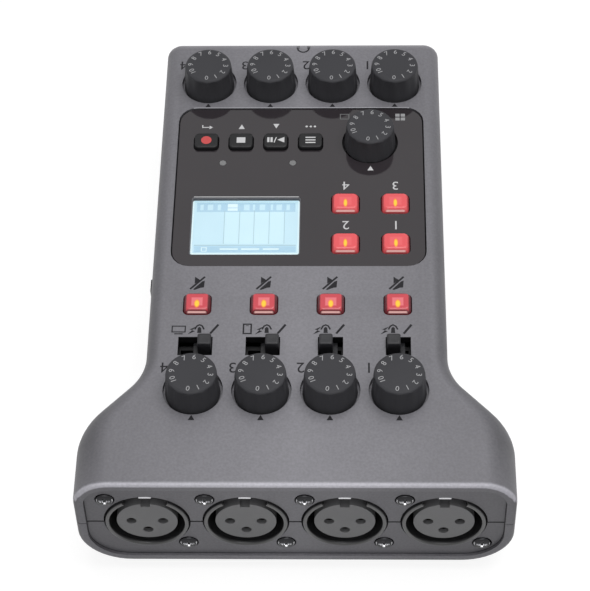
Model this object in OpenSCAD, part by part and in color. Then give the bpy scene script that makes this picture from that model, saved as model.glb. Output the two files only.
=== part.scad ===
// Four-track podcast recorder in millimetres, +Z up, origin under the middle of the case on the table.
// The microphone sockets are at the -Y end, the phones outputs at the +Y end.

/* [Case] */
// Width across the socket end
wide_w = 111; // [109:1:123]
// Width of the narrow body
narrow_w = 78; // [77:0.5:88]
// Depth from the socket face to the phones end
case_d = 155; // [152:1:170]
// Height of the case from its underside to its top face
case_h = 36.8; // [36.4:0.2:42]
// Height of the joint between the two shells above the underside
joint_h = 19.2; // [18.6:0.1:19.3]
// Thickness of the side and end walls and of the floor
wall = 2.2; // [1.8:0.1:2.4]
// Thickness of the top wall
roof_t = 2.4; // [2.2:0.1:3]
// Distance from the socket face at which the flare ends
flare_near = 14; // [12.5:0.5:16.5]
// Length of the flare
flare_len = 27.5; // [25.5:0.5:31.5]
// Steepest angle of the flare
flare_angle = 47; // [43:1:51]
// Radius of the top side edges on the narrow body
narrow_top_r = 4; // [3:0.5:5]
// Radius of the top side edges at the wide end
wide_top_r = 9; // [6:0.5:10]
// Radius of the bottom side edges on the narrow body
narrow_base_r = 6; // [3:0.5:7]
// Radius of the bottom side edges at the wide end
wide_base_r = 13; // [8:0.5:14]
// Radius of the upright corners at the phones end
end_corner_r = 5; // [4:0.5:6]
// Radius of the top edge at the phones end
end_edge_r = 6; // [4:0.5:6.5]
// Radius of the bottom edge at the phones end
end_base_r = 4; // [3:0.5:5]
// Radius of the rolled rim around the socket face
rim_r = 1.25; // [0.75:0.25:2]
// Width of the rim around the socket face
rim_w = 2.6; // [2:0.2:3.2]
// Depth of the socket face behind the rim
face_sink = 0.8; // [0.4:0.1:1.2]
// Rise of the underside at the socket end
chin_h = 1.5; // [0.5:0.1:1.8]
// Distance from the socket end at which the underside starts to rise
chin_l = 8; // [6:0.5:9]
// Height of the parting seam between the two shells
seam = 0.25; // [0.1:0.05:0.4]

/* [Feet, screws and battery door] */
// Height of the rubber feet below the case
foot_h = 2.7; // [2:0.1:3.4]
// Diameter of a rubber foot
foot_dia = 10; // [8:0.5:11]
// Depth of the pocket that holds a foot
foot_sink = 0.4; // [0.2:0.1:0.6]
// Length of the battery door
door_l = 60; // [60:0.5:63]
// Width of the battery door
door_w = 34; // [34:0.5:37]
// Thickness of the battery door
door_t = 2; // [1.6:0.1:2.1]
// Diameter of one cell
cell_dia = 14.2; // [13.8:0.1:14.4]
// Length of one cell
cell_l = 50.5; // [49:0.5:51]

/* [Microphone sockets] */
// Distance between neighbouring sockets
socket_pitch = 25; // [24.8:0.1:26]
// Diameter of the opening in the socket face
socket_hole = 22; // [21.8:0.1:23]
// Diameter of the bore that takes the plug's shell
plug_bore = 19.5; // [19.2:0.1:19.8]
// Diameter of the insulating core
core_dia = 15.4; // [15:0.1:15.8]
// Depth of a socket behind the socket face
socket_depth = 18.5; // [17:0.5:19]
// Sideways distance from a socket's axis to its screws
screw_dx = 10; // [9.8:0.1:10.2]
// Upright distance from a socket's axis to its screws
screw_dz = 9.8; // [9.6:0.1:10.2]

/* [Knobs] */
// Distance between the four control columns
column_pitch = 17.5; // [17.2:0.1:18]
// Distance of the level knob row from the socket face
level_row = 29; // [28:0.25:30]
// Distance of the phones knob row from the phones end
phones_row = 18.5; // [18:0.25:20]
// Diameter of a knob at its skirt
knob_base_dia = 14.2; // [13.4:0.1:14.6]
// Diameter of a knob at its top
knob_top_dia = 13.1; // [12.2:0.1:13.3]
// Height of a level or phones knob's top above the case
knob_rise = 7.5; // [6.5:0.25:8.5]
// Height of the pad level knob's top above the case
pad_knob_rise = 6.6; // [6:0.1:7.4]
// Diameter of the dish that a knob sits in
dish_dia = 15.4; // [15:0.1:15.8]
// Number of grip grooves around a knob
knob_grooves = 12; // [8:1:18]
// Diameter of a potentiometer's shaft
shaft_dia = 6; // [5:0.25:6]

/* [Keys and switches] */
// Distance of the mute keys from the socket face
mute_row = 56.6; // [55:0.25:58]
// Width of a mute key
mute_w = 7; // [6.5:0.1:7.4]
// Depth of a mute key
mute_d = 6.4; // [6:0.1:7]
// Width of a sound pad
pad_w = 7.3; // [6.8:0.1:7.6]
// Depth of a sound pad
pad_d = 6.3; // [6:0.1:7]
// Distance between the sound pads across the case
pad_pitch_x = 13.5; // [13:0.25:14]
// Distance between the sound pads along the case
pad_pitch_y = 14.1; // [13.5:0.1:15]
// Width of a transport key
key_w = 6.5; // [6:0.1:7]
// Depth of a transport key
key_d = 5.3; // [5:0.1:6]
// Distance between the transport keys
key_pitch = 9.65; // [9.4:0.05:9.8]
// Height of the lit keys above the face around them
lit_rise = 1.5; // [1:0.1:2]
// Height of the transport keys above the control panel
key_rise = 1.2; // [0.8:0.1:1.6]
// Travel of every key
key_travel = 1; // [0.6:0.1:1.2]
// Distance of the microphone switches from the socket face
mic_row = 43; // [42:0.25:44]
// Travel between two settings of a microphone switch
mic_step = 2.4; // [2:0.1:2.5]
// Width and depth of a switch tab
tab_w = 3.6; // [3.2:0.1:4]
// Height of a switch tab above the case
tab_rise = 2.3; // [1.5:0.1:3]
// Depth of a microphone switch slot
slot_d = 5.9; // [5.4:0.1:6.4]
// Travel of the power switch
power_travel = 4; // [3:0.5:5]

/* [Control panel and display] */
// Width of the control panel
panel_w = 68; // [66:0.5:68.5]
// Depth of the control panel
panel_d = 57.1; // [56:0.1:58]
// Thickness of the control panel
panel_t = 1.2; // [0.9:0.1:1.3]
// Depth of the panel's top below the case's top face
panel_sink = 0.4; // [0.2:0.05:0.5]
// Corner radius of the control panel
panel_r = 5; // [3:0.5:6]
// Strip of case between the control panel and the phones knobs' dishes
panel_strip = 1.9; // [1.5:0.1:2.5]
// Width of the display opening
display_w = 29.8; // [28:0.2:30]
// Depth of the display opening
display_d = 20.4; // [18:0.2:20.8]
// Distance of the display's middle from the case's middle line
display_column = 14.5; // [14:0.1:14.8]
// Distance of the display's middle from the panel's near edge
display_row = 14.2; // [14:0.1:15]
// Distance of the first transport key from the case's middle line
key_column = 26.2; // [26:0.1:27]
// Distance of the transport keys from the panel's far edge
key_row = 12.8; // [12.4:0.1:13.6]
// Distance of the two lamps from the transport keys
lamp_row = 7.4; // [6.8:0.1:7.6]
// Distance of the sound pads' middle from the case's middle line
pad_column = 19.25; // [19:0.05:20]
// Distance of the near sound pads from the panel's near edge
pad_row = 7.7; // [7:0.1:8]
// Distance of the pad level knob from the panel's far edge
pad_knob_row = 12.7; // [12.6:0.1:15]

/* [Hidden] */
$fn = 48;

// Clearances: running fit of a shaft, free gap of a moving piece, and seat gap of a fixed piece
run_gap = 0.05;
free_gap = 0.25;
stop_gap = 0.3;
seat_gap = 0.2;
// Overlap that joins a feature to its parent solid, and overshoot of a cut
weld = 0.5;
cut = 1;

// Case sizes that the layout is given for: rows, columns and sockets keep their share of another case
drawn_wide_w = 111;
drawn_narrow_w = 78;
drawn_d = 155;
fit_wide = wide_w / drawn_wide_w;
fit_x = narrow_w / drawn_narrow_w;
fit_y = case_d / drawn_d;

// Main levels
base_z = foot_h;
floor_z = base_z + wall;
top_z = base_z + case_h;
joint_z = base_z + joint_h;
roof_z = top_z - roof_t;
panel_z = top_z - panel_sink;
ledge_z = panel_z - panel_t;
near_y = -case_d / 2;
far_y = case_d / 2;
face_y = near_y + face_sink;
face_in_y = face_y + wall;
far_in_y = far_y - wall;
side_in_x = narrow_w / 2 - wall;

// Rows and columns of the controls
column_step = fit_x * column_pitch;
columns = [for (i = [0:3]) (1.5 - i) * column_step];
level_y = near_y + fit_y * level_row;
phones_y = far_y - fit_y * phones_row;
mute_y = near_y + fit_y * mute_row;
mic_y = near_y + fit_y * mic_row;
panel_far_y = phones_y - dish_dia / 2 - panel_strip;
panel_near_y = panel_far_y - panel_d;
panel_mid_y = (panel_far_y + panel_near_y) / 2;
panel_x = fit_x * panel_w;
key_y = panel_far_y - key_row;
key_x = [for (i = [0:3]) fit_x * (i * key_pitch - key_column)];
lamp_y = key_y - lamp_row;
lamp_x = [(key_x[0] + key_x[1]) / 2, (key_x[2] + key_x[3]) / 2];
pad_mid_x = fit_x * pad_column;
pad_near_y = panel_near_y + pad_row;
pad_at = [
    for (y = [0, 1], x = [1, -1])
        [pad_mid_x + fit_x * x * pad_pitch_x / 2, pad_near_y + y * pad_pitch_y]
];
pad_knob_y = panel_far_y - pad_knob_row;
display_x = -fit_x * display_column;
display_y = panel_near_y + display_row;
knob_at = concat(
    [for (x = columns) [x, level_y]], [for (x = columns) [x, phones_y]], [[pad_mid_x, pad_knob_y]]
);

// Display window and the module under it
window_lip = 1.2;
opening_w = fit_x * display_w;
window_w = opening_w + 2 * window_lip;
window_d = display_d + 2 * window_lip;
lcd_frame = 1.2;
opening_r = 0.8;

// Potentiometers and the control board that carries them
pot_w = 9.5;
pot_h = 6.3;
pot_floor = 0.9;
board_t = 1.6;
control_top_z = roof_z - seat_gap - pot_h;
control_z = control_top_z - board_t;
control_w = 3 * column_step + pot_w;
control_near_y = level_y - pot_w / 2;
control_far_y = phones_y + pot_w / 2;
shaft_r = shaft_dia / 2;
shaft_room = 0.9;
shaft_hole_r = shaft_r + shaft_room;
shaft_z = control_top_z + pot_floor + run_gap;
knob_lift = 0.4;
knob_z = ledge_z + knob_lift;
knob_top_z = top_z + knob_rise;
pad_knob_top_z = top_z + pad_knob_rise;
knob_socket_h = 6.6;
knob_socket_z = knob_z + knob_socket_h;
shaft_top_z = knob_socket_z - run_gap;
knob_bevel = 0.5;
function knob_slope(top) = atan((knob_base_dia - knob_top_dia) / 2 / (top - knob_bevel - knob_z));
groove_r = 1.6;
groove_depth = 0.2;

// Keys: cap, retaining flange under the roof, and plunger over the lamp
flange_t = 0.8;
flange_lip = 0.9;
flange_top_z = roof_z - stop_gap;
plunger_w = 4.6;
led_w = 2.8;
led_h = 1.3;
plunger_z = control_top_z + led_h + key_travel + stop_gap;
key_corner = 1.2;
key_bevel = 0.4;
lamp_r = 0.95;

// Microphone switches: tab, carrier under the roof, stem in the switch body
carrier_t = 0.7;
carrier_top_z = roof_z - stop_gap;
carrier_z = carrier_top_z - carrier_t;
carrier_lip = 1.2;
carrier_w = tab_w + 2 * carrier_lip;
carrier_d = slot_d + carrier_lip;
stem_w = 2;
stem_l = 2.6;
switch_d = 5;
switch_top_z = carrier_z - seat_gap;
stem_room = 1.6;
stem_z = control_top_z + stem_room;
mic_positions = [2, 2, 3, 3];
mic_rest = [-1, -1, 1, 1];

// Battery bay in the bottom shell
bay_row = 8;
bay_y = fit_y * bay_row;
cell_gap = 0.3;
cell_spread = cell_dia + 2 * cell_gap;
cell_z = base_z + door_t + cell_gap + cell_dia / 2;
bay_end_room = 3.1;
bay_l = cell_l + 2 * bay_end_room;
bay_w = cell_spread + cell_dia + 2 * cell_gap;
bay_z = base_z + door_t + seat_gap;
bay_top_z = cell_z + cell_dia / 2 + cell_gap;
bay_roof = 1.2;
bay_ledge = 1.2;
bay_wall_l = (door_l - bay_l) / 2 + bay_ledge;
bay_wall_w = (door_w - bay_w) / 2 + bay_ledge;
grip_in = 7;
grip_pitch = 1.6;
grip_l = 12;
grip_depth = 0.5;
contact_t = 0.4;
contact_w = 10;
contact_h = 11;
contact_bump_r = 2.6;

// Main board and what stands on it
main_z = bay_top_z + bay_roof + stop_gap;
main_top_z = main_z + board_t;
board_gap = 0.8;
main_w = narrow_w - 2 * (wall + board_gap);
main_setback = 5;
main_near_y = level_y + main_setback;
main_far_y = far_in_y - board_gap;
main_neck_y = phones_y - board_gap;
jack_w = 7;
jack_l = 12.5;
jack_h = 5.6;
jack_nose_r = 3;
jack_bore_r = 1.8;
jack_z = main_top_z + jack_h / 2;
call_jack_row = -12;
call_jack_y = fit_y * call_jack_row;
usb_w = 8.94;
usb_h = 3.26;
usb_l = 9;
usb_wall = 0.3;
usb_z = main_top_z + usb_h / 2;
usb_data_row = 8;
usb_power_row = -24;
usb_data_y = fit_y * usb_data_row;
usb_power_y = fit_y * usb_power_row;
card_w = 27;
card_l = 25;
card_h = 3;
card_slot_w = 24.6;
card_slot_h = 2.2;
card_row = 24;
card_y = fit_y * card_row;
power_row = -4;
power_y = fit_y * power_row;
power_tab_w = 4;
power_tab_h = 2.6;
power_reach = 1.4;
power_lift = 2.6;
power_z = main_top_z + power_lift;
power_slot_w = power_tab_w + power_travel + 2 * free_gap;
power_body_d = 5;
power_x = -side_in_x + seat_gap + power_body_d / 2;
power_foot_l = 3;
power_foot_h = 2;

// Screws
case_screw_r = 1.3;
case_head_r = 2.5;
case_head_h = 1.6;
case_head_sink = 4;
case_screw_bite = 8;
boss_r = 2.9;
boss_gap = 0.6;
near_boss_column = 37.5;
near_boss_x = fit_wide * near_boss_column;
far_boss_x = side_in_x - boss_r - boss_gap;
end_row = 11.5;
boss_at = [
    for (s = [-1, 1]) [s * near_boss_x, level_y], for (s = [-1, 1]) [s * far_boss_x, far_y - end_row]
];
neck_gap = 1.4;
main_neck_w = 2 * (far_boss_x - boss_r - neck_gap);
board_screw_r = 1;
board_head_r = 2;
board_head_h = 1.2;
board_screw_l = 5;
post_r = 2.4;
control_post_at = [for (s = [-1, 1], y = [level_y, phones_y]) [s * column_step, y]];
post_gap = 2;
post_row = 6;
main_post_x = side_in_x - post_r - post_gap;
main_post_at = [
    for (s = [-1, 1], y = [main_near_y + post_row, main_neck_y - post_row]) [s * main_post_x, y]
];
foot_gap = 1.8;
foot_edge = 2;
near_foot_x = wide_w / 2 - wide_base_r - foot_dia / 2 - foot_edge;
far_foot_x = far_boss_x - case_head_r - foot_dia / 2 - foot_gap;
foot_at = [
    for (s = [-1, 1]) [s * near_foot_x, near_y + end_row],
    for (s = [-1, 1]) [s * far_foot_x, far_y - end_row]
];

// Microphone sockets
socket_x = [for (i = [0:3]) (1.5 - i) * fit_wide * socket_pitch];
socket_z = joint_z;
nose_gap = 0.4;
hole_r = fit_wide * socket_hole / 2;
nose_r = hole_r - nose_gap;
bore_r = fit_wide * plug_bore / 2;
core_r = fit_wide * core_dia / 2;
screw_x = fit_wide * screw_dx;
screw_z = fit_wide * screw_dz;
nose_sink = 0.2;
nose_y = face_y + nose_sink;
flange_side = 24.4;
flange_w = fit_wide * flange_side;
flange_y = face_in_y;
flange_depth = 4;
socket_rear_y = face_in_y + fit_y * socket_depth;
socket_rear_t = 2.5;
plug_end_y = socket_rear_y - socket_rear_t;
core_sink = 0.05;
core_y = face_y + core_sink;
core_base_t = 3;
pin_dia = 2.6;
pin_hole_r = fit_wide * pin_dia / 2;
pin_r = pin_hole_r - run_gap;
pin_wall = 0.4;
pin_bore_r = pin_r - pin_wall;
pin_sink = 1.2;
pin_y = core_y + pin_sink;
pin_end_t = 1;
pin_end_y = plug_end_y - pin_end_t;
pin_spread = 4;
pin_at = fit_wide * pin_spread * [[-1, 0], [1, 0], [0, -1]];
key_slot_w = 2.4;
key_slot_d = 1.3;
notch_side = 11;
notch_w = fit_wide * notch_side;
notch_h = 4;
latch_w = 3.2;
latch_t = 0.4;
latch_l = 10;
latch_tooth = 0.6;
latch_sink = 0.3;
latch_y = nose_y + latch_sink;
latch_room = 0.75;
latch_z = bore_r + latch_room;
socket_head_dia = 4.6;
socket_head_r = fit_wide * socket_head_dia / 2;
socket_head_h = 1.6;
socket_head_sink = 0.9;
socket_head_gap = 0.25;
socket_shank_r = 1.5;
socket_shank_l = 5;
cross_w = 0.9;
cross_l = 3.2;
cross_depth = 0.8;

function mix(a, b, t) = a + (b - a) * t;

// Outline of the case: half width at a place along it
function half_width(y) =
    let (
        near = near_y + flare_near,
        u = near + flare_len - y,
        dx = (wide_w - narrow_w) / 2,
        c = cos(flare_angle),
        s = sin(flare_angle),
        r = max(1, (flare_len * s - dx * c) / (1 - c) / 2),
        n = narrow_w / 2
    )
    u <= 0 ? n
    : u < r * s ? n + r - sqrt(r * r - u * u)
    : u < flare_len - r * s ? n + r * (1 - c) + (u - r * s) * tan(flare_angle)
    : u < flare_len ? n + dx - r + sqrt(r * r - (flare_len - u) * (flare_len - u))
    : n + dx;
function flare_share(y) = (half_width(y) - narrow_w / 2) / ((wide_w - narrow_w) / 2);
// How far a rounded edge of radius r is drawn in at distance t from its end
function drawn_in(r, t) = t >= r ? 0 : r - sqrt(r * r - (r - t) * (r - t));

// Arc of a cross section, from angle a through 90 degrees
function arc(x, z, r, a, n) = [for (i = [0:n]) [x + r * cos(a + 90 * i / n), z + r * sin(a + 90 * i / n)]];
function upper_ring(w, z, r, low, n) =
    concat([[w, low]], arc(w - r, z - r, r, 0, n), arc(r - w, z - r, r, 90, n), [[-w, low]]);
function lower_ring(w, z, r, high, n) =
    concat([[-w, high]], arc(r - w, z + r, r, 180, n), arc(w - r, z + r, r, 270, n), [[w, high]]);

// Cross sections of the outer skin and of the hollow, for the upper or lower shell
outer_steps = 12;
inner_steps = 5;
function top_r(y) = mix(narrow_top_r, wide_top_r, flare_share(y));
function base_r(y) = mix(narrow_base_r, wide_base_r, flare_share(y));
// Rise of the underside towards the socket end
function chin(y) = y < near_y + chin_l ? chin_h * pow(1 - (y - near_y) / chin_l, 2) : 0;
function skin_ring(y, upper) =
    let (
        far = far_y - y,
        rim = drawn_in(rim_r, y - near_y),
        high = drawn_in(end_edge_r, far),
        low = drawn_in(end_base_r, far),
        w = half_width(y) - rim - drawn_in(end_corner_r, far),
        r_high = (top_r(y) - 0.7 * rim) * (1 - 0.7 * high / end_edge_r),
        r_low = (base_r(y) - 0.7 * rim) * (1 - 0.7 * low / end_base_r)
    )
    upper
        ? upper_ring(w, top_z - rim - high, r_high, joint_z, outer_steps)
        : lower_ring(w, base_z + chin(y) + rim + low, r_low, joint_z - seam, outer_steps);
function hollow_ring(y, upper) =
    let (w = half_width(y) - wall)
    upper
        ? upper_ring(w, roof_z, top_r(y) - wall + 0.4, joint_z - cut, inner_steps)
        : lower_ring(w, floor_z, base_r(y) - wall + 0.4, joint_z + cut, inner_steps);
// Outline of the socket face inside its rim
function face_outline() =
    let (w = wide_w / 2 - rim_w, t = wide_top_r - rim_w, b = wide_base_r - rim_w)
    concat(
        arc(w - t, top_z - rim_w - t, t, 0, outer_steps), arc(t - w, top_z - rim_w - t, t, 90, outer_steps),
        arc(b - w, base_z + chin_h + rim_w + b, b, 180, outer_steps),
        arc(w - b, base_z + chin_h + rim_w + b, b, 270, outer_steps)
    );

flare_steps = 24;
flare_at = [for (i = [0:flare_steps]) near_y + flare_near + flare_len * i / flare_steps];
chin_steps = 5;
end_r = max(end_corner_r, end_edge_r);
skin_at = concat(
    [for (a = [0:15:90]) near_y + rim_r * (1 - cos(a))],
    [for (i = [1:chin_steps]) near_y + mix(rim_r, chin_l, i / chin_steps)], flare_at,
    [for (a = [90:-10:0]) far_y - end_r * (1 - cos(a))]
);
hollow_at = concat([face_in_y], flare_at, [far_in_y]);

// Solid through equal rings of points placed along Y
module loft(rings, at) {
    m = len(rings[0]);
    last = len(rings) - 1;
    polyhedron(
        points = [for (k = [0:last], p = rings[k]) [p[0], at[k], p[1]]],
        faces = concat(
            [for (i = [1:m - 2]) [0, i + 1, i]],
            [for (i = [1:m - 2]) [last * m, last * m + i, last * m + i + 1]],
            [
                for (k = [0:last - 1], i = [0:m - 1])
                    let (a = k * m + i, b = k * m + (i + 1) % m)
                    each [[a, b, b + m], [a, b + m, a + m]]
            ]
        )
    );
}

module case_skin(upper) loft([for (y = skin_at) skin_ring(y, upper)], skin_at);
module case_hollow(upper) loft([for (y = hollow_at) hollow_ring(y, upper)], hollow_at);

// Flat shapes
corner_steps = 5;
function round_rect(w, d, r) = [
    for (q = [0:3], i = [0:corner_steps])
        let (a = 90 * q + 90 * i / corner_steps)
        [(q == 0 || q == 3 ? 1 : -1) * (w / 2 - r) + r * cos(a), (q < 2 ? 1 : -1) * (d / 2 - r) + r * sin(a)]
];
module plate(w, d, r, z0, z1) translate([0, 0, z0]) linear_extrude(z1 - z0) polygon(round_rect(w, d, r));
module block(w, d, z0, z1) translate([-w / 2, -d / 2, z0]) cube([w, d, z1 - z0]);
module post(r, z0, z1) translate([0, 0, z0]) cylinder(r = r, h = z1 - z0);
module along_y(r, y0, y1) translate([0, y0, 0]) rotate([-90, 0, 0]) cylinder(r = r, h = y1 - y0);
module along_x(r, x0, x1) translate([x0, 0, 0]) rotate([0, 90, 0]) cylinder(r = r, h = x1 - x0);
module put_at(places) for (p = places) translate([p[0], p[1], 0]) children();
module put_sockets() for (x = socket_x) translate([x, 0, socket_z]) children();
module put_upper_screw() translate([-screw_x, 0, screw_z]) children();
module put_lower_screw() translate([screw_x, 0, -screw_z]) children();

// Cuts that both shells share around the microphone sockets
module face_cuts() {
    translate([0, face_y, 0]) rotate([90, 0, 0]) linear_extrude(face_sink + cut) polygon(face_outline());
    put_sockets() {
        along_y(hole_r, near_y - cut, face_in_y + cut);
        for (s = [-1, 1]) translate([-s * screw_x, 0, s * screw_z]) {
            along_y(socket_shank_r + 0.1, near_y - cut, face_in_y + cut);
            along_y(socket_head_r + socket_head_gap, near_y - cut, face_y + socket_head_sink);
        }
    }
}

module key_hole(w, d, z0) plate(w + 2 * free_gap, d + 2 * free_gap, key_corner + free_gap, z0, top_z + cut);
function mic_travel(i) = mic_step * (mic_positions[i] - 1);
function mic_slot_w(i) = tab_w + mic_travel(i) + 2 * free_gap;
function mic_x(i) = columns[i] + mic_rest[i] * mic_travel(i) / 2;

// Openings in the side walls: phones, call, data, supply, card and power
module jack_places() {
    for (x = columns) translate([x, far_y, jack_z]) children();
    translate([narrow_w / 2, call_jack_y, jack_z]) rotate([0, 0, -90]) children();
}
module usb_places() {
    translate([narrow_w / 2, usb_data_y, usb_z]) rotate([0, 0, -90]) children();
    translate([-narrow_w / 2, usb_power_y, usb_z]) rotate([0, 0, 90]) children();
}
module stadium(w, h, y0, y1) {
    translate([h / 2 - w / 2, y0, -h / 2]) cube([w - h, y1 - y0, h]);
    for (s = [-1, 1]) translate([s * (w - h) / 2, 0, 0]) along_y(h / 2, y0, y1);
}
module port_cuts() {
    jack_places() along_y(jack_nose_r + seat_gap, -wall - cut, cut);
    usb_places() stadium(usb_w + 2 * free_gap, usb_h + 2 * free_gap, -wall - cut, cut);
    translate([-narrow_w / 2, card_y, main_top_z + card_h / 2])
        cube([2 * (wall + cut), card_slot_w + 0.8, card_slot_h + 0.4], center = true);
    translate([-narrow_w / 2, power_y + power_travel / 2, power_z])
        cube([2 * (wall + cut), power_slot_w, power_tab_h + 2 * free_gap], center = true);
}

module top_shell() color("#8b8a90") difference() {
    union() {
        difference() {
            case_skin(true);
            case_hollow(true);
        }
        put_at(boss_at) post(boss_r, joint_z, roof_z + weld);
        put_at(control_post_at) post(post_r, control_top_z, roof_z + weld);
    }
    face_cuts();
    port_cuts();
    translate([0, panel_mid_y, 0])
        plate(panel_x + 2 * seat_gap, panel_d + 2 * seat_gap, panel_r + seat_gap, ledge_z, top_z + cut);
    put_at(knob_at) {
        post(dish_dia / 2, ledge_z, top_z + cut);
        post(shaft_hole_r, roof_z - cut, top_z);
    }
    for (x = columns) translate([x, mute_y, 0]) key_hole(mute_w, mute_d, roof_z - cut);
    put_at(pad_at) key_hole(pad_w, pad_d, roof_z - cut);
    for (x = key_x) translate([x, key_y, 0]) key_hole(key_w, key_d, roof_z - cut);
    for (x = lamp_x) translate([x, lamp_y, 0]) post(lamp_r + seat_gap, roof_z - cut, top_z);
    translate([display_x, display_y, 0])
        plate(window_w + 2 * seat_gap, window_d + 2 * seat_gap, opening_r + seat_gap, roof_z - cut, top_z);
    for (i = [0:3]) translate([columns[i], mic_y, 0])
        block(mic_slot_w(i), slot_d, roof_z - cut, top_z + cut);
    put_at(boss_at) post(case_screw_r + run_gap, joint_z - cut, joint_z + case_screw_bite + cut);
    put_at(control_post_at)
        post(board_screw_r + run_gap, control_top_z - cut, control_top_z + board_screw_l);
}

module bottom_shell() color("#85848a") difference() {
    union() {
        difference() {
            case_skin(false);
            case_hollow(false);
            translate([0, bay_y, 0])
                block(door_l + 2 * free_gap, door_w + 2 * free_gap, base_z - cut, floor_z + cut);
        }
        difference() {
            translate([0, bay_y, 0])
                block(bay_l + 2 * bay_wall_l, bay_w + 2 * bay_wall_w, bay_z, bay_top_z + bay_roof);
            translate([0, bay_y, 0]) block(bay_l, bay_w, base_z, bay_top_z);
        }
        put_at(boss_at) post(boss_r, floor_z - weld, joint_z);
        put_at(main_post_at) post(post_r, floor_z - weld, main_z);
    }
    face_cuts();
    put_at(boss_at) {
        post(case_screw_r + run_gap, base_z - cut, joint_z + cut);
        post(case_head_r + seat_gap, base_z - cut, base_z + case_head_sink);
    }
    put_at(main_post_at) post(board_screw_r + run_gap, main_top_z - board_screw_l, main_z + cut);
    put_at(foot_at) post(foot_dia / 2 + run_gap, base_z - cut, base_z + foot_sink);
}

module control_panel() color("#3a383b") difference() {
    translate([0, panel_mid_y, 0]) plate(panel_x, panel_d, panel_r, ledge_z, panel_z);
    translate([display_x, display_y, 0])
        plate(opening_w, display_d, opening_r, ledge_z - cut, panel_z + cut);
    put_at(pad_at) key_hole(pad_w, pad_d, ledge_z - cut);
    for (x = key_x) translate([x, key_y, 0]) key_hole(key_w, key_d, ledge_z - cut);
    for (x = lamp_x) translate([x, lamp_y, 0]) post(lamp_r + run_gap, ledge_z - cut, panel_z + cut);
    translate([pad_mid_x, pad_knob_y, 0]) post(dish_dia / 2, ledge_z - cut, panel_z + cut);
}

// Display: a clear window under the panel's opening, on the frame of the module below
module display_window() color("#bfd9e0") translate([display_x, display_y, 0])
    plate(window_w, window_d, opening_r, roof_z, ledge_z);
module lcd_module() color("#a9dcef") translate([display_x, display_y, 0])
    block(window_w + lcd_frame, window_d + lcd_frame, control_top_z, roof_z);
module indicator_lenses() color("#9a9a9c") for (x = lamp_x) translate([x, lamp_y, 0])
    post(lamp_r, control_top_z + led_h, panel_z);

module battery_door() color("#7d7c82") translate([0, bay_y, 0]) difference() {
    plate(door_l, door_w, 1, base_z, base_z + door_t);
    for (i = [-2:2]) translate([door_l / 2 - grip_in + i * grip_pitch, 0, 0])
        block(grip_pitch / 2, grip_l, base_z - cut, base_z + grip_depth);
}
module rubber_feet() color("#26262a") put_at(foot_at) post(foot_dia / 2, 0, base_z + foot_sink);

module case_screws() color("#4b4b4f") put_at(boss_at) difference() {
    union() {
        post(case_head_r, base_z + case_head_sink - case_head_h, base_z + case_head_sink);
        post(case_screw_r, base_z + case_head_sink, joint_z + case_screw_bite);
    }
    cross(base_z + case_head_sink - case_head_h - cut, base_z + case_head_sink - case_head_h + cross_depth);
}
module cross(z0, z1) for (a = [0, 90]) rotate(a) block(cross_l, cross_w, z0, z1);
module board_screw() difference() {
    union() {
        post(board_head_r, -board_head_h, 0);
        post(board_screw_r, 0, board_screw_l);
    }
    cross(-board_head_h - cut, -board_head_h + cross_depth / 2);
}
module board_screws() color("#b9b9bd") {
    put_at(control_post_at) translate([0, 0, control_z]) board_screw();
    put_at(main_post_at) translate([0, 0, main_top_z]) mirror([0, 0, 1]) board_screw();
}

module xlr_sockets() color("#2a2a2b") put_sockets() difference() {
    union() {
        along_y(nose_r, nose_y, flange_y + weld);
        translate([-flange_w / 2, flange_y, -flange_w / 2]) cube([flange_w, flange_depth, flange_w]);
        along_y(hole_r, flange_y + weld, socket_rear_y);
    }
    along_y(bore_r, nose_y - cut, plug_end_y);
    translate([-notch_w / 2, nose_y - cut, bore_r - notch_h / 2])
        cube([notch_w, flange_y - nose_y + cut, notch_h]);
    translate([-latch_w / 2 - run_gap, nose_y - cut, 0])
        cube([latch_w + 2 * run_gap, latch_l + cut + 0.5, latch_z + run_gap]);
    for (p = pin_at) translate([p[0], 0, p[1]]) along_y(pin_hole_r, plug_end_y - cut, socket_rear_y + cut);
    put_upper_screw() along_y(socket_shank_r + run_gap, flange_y - cut, flange_y + flange_depth + cut);
    put_lower_screw() along_y(socket_shank_r + run_gap, flange_y - cut, flange_y + flange_depth + cut);
}
module xlr_inserts() color("#575759") put_sockets() difference() {
    union() {
        along_y(core_r, core_y, plug_end_y);
        along_y(bore_r - run_gap, plug_end_y - core_base_t, plug_end_y);
    }
    for (p = pin_at) translate([p[0], 0, p[1]]) along_y(pin_hole_r, core_y - cut, pin_end_y);
    translate([-key_slot_w / 2, core_y - cut, core_r - key_slot_d])
        cube([key_slot_w, plug_end_y - core_base_t - core_y + cut, key_slot_d + cut]);
}
module xlr_contacts() color("#c8b27a") put_sockets() for (p = pin_at) translate([p[0], 0, p[1]])
    difference() {
        along_y(pin_r, pin_y, pin_end_y);
        along_y(pin_bore_r, pin_y - cut, pin_end_y - 3);
    }
module xlr_latches() color("#c9c9cc") put_sockets() translate([-latch_w / 2, latch_y, latch_z - latch_t]) {
    cube([latch_w, latch_l, latch_t]);
    translate([0, 0, -latch_tooth]) cube([latch_w, latch_t, latch_tooth + latch_t / 2]);
}
module socket_screw() difference() {
    union() {
        along_y(socket_head_r, face_y + socket_head_sink - socket_head_h, face_y + socket_head_sink);
        along_y(socket_shank_r, face_y + socket_head_sink, flange_y + socket_shank_l);
    }
    translate([0, face_y + socket_head_sink - socket_head_h + cross_depth, 0]) rotate([90, 0, 0])
        cross(0, cross_depth + cut);
}
module xlr_screws() color("#3d3d40") put_sockets() {
    put_upper_screw() socket_screw();
    put_lower_screw() socket_screw();
}

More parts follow.
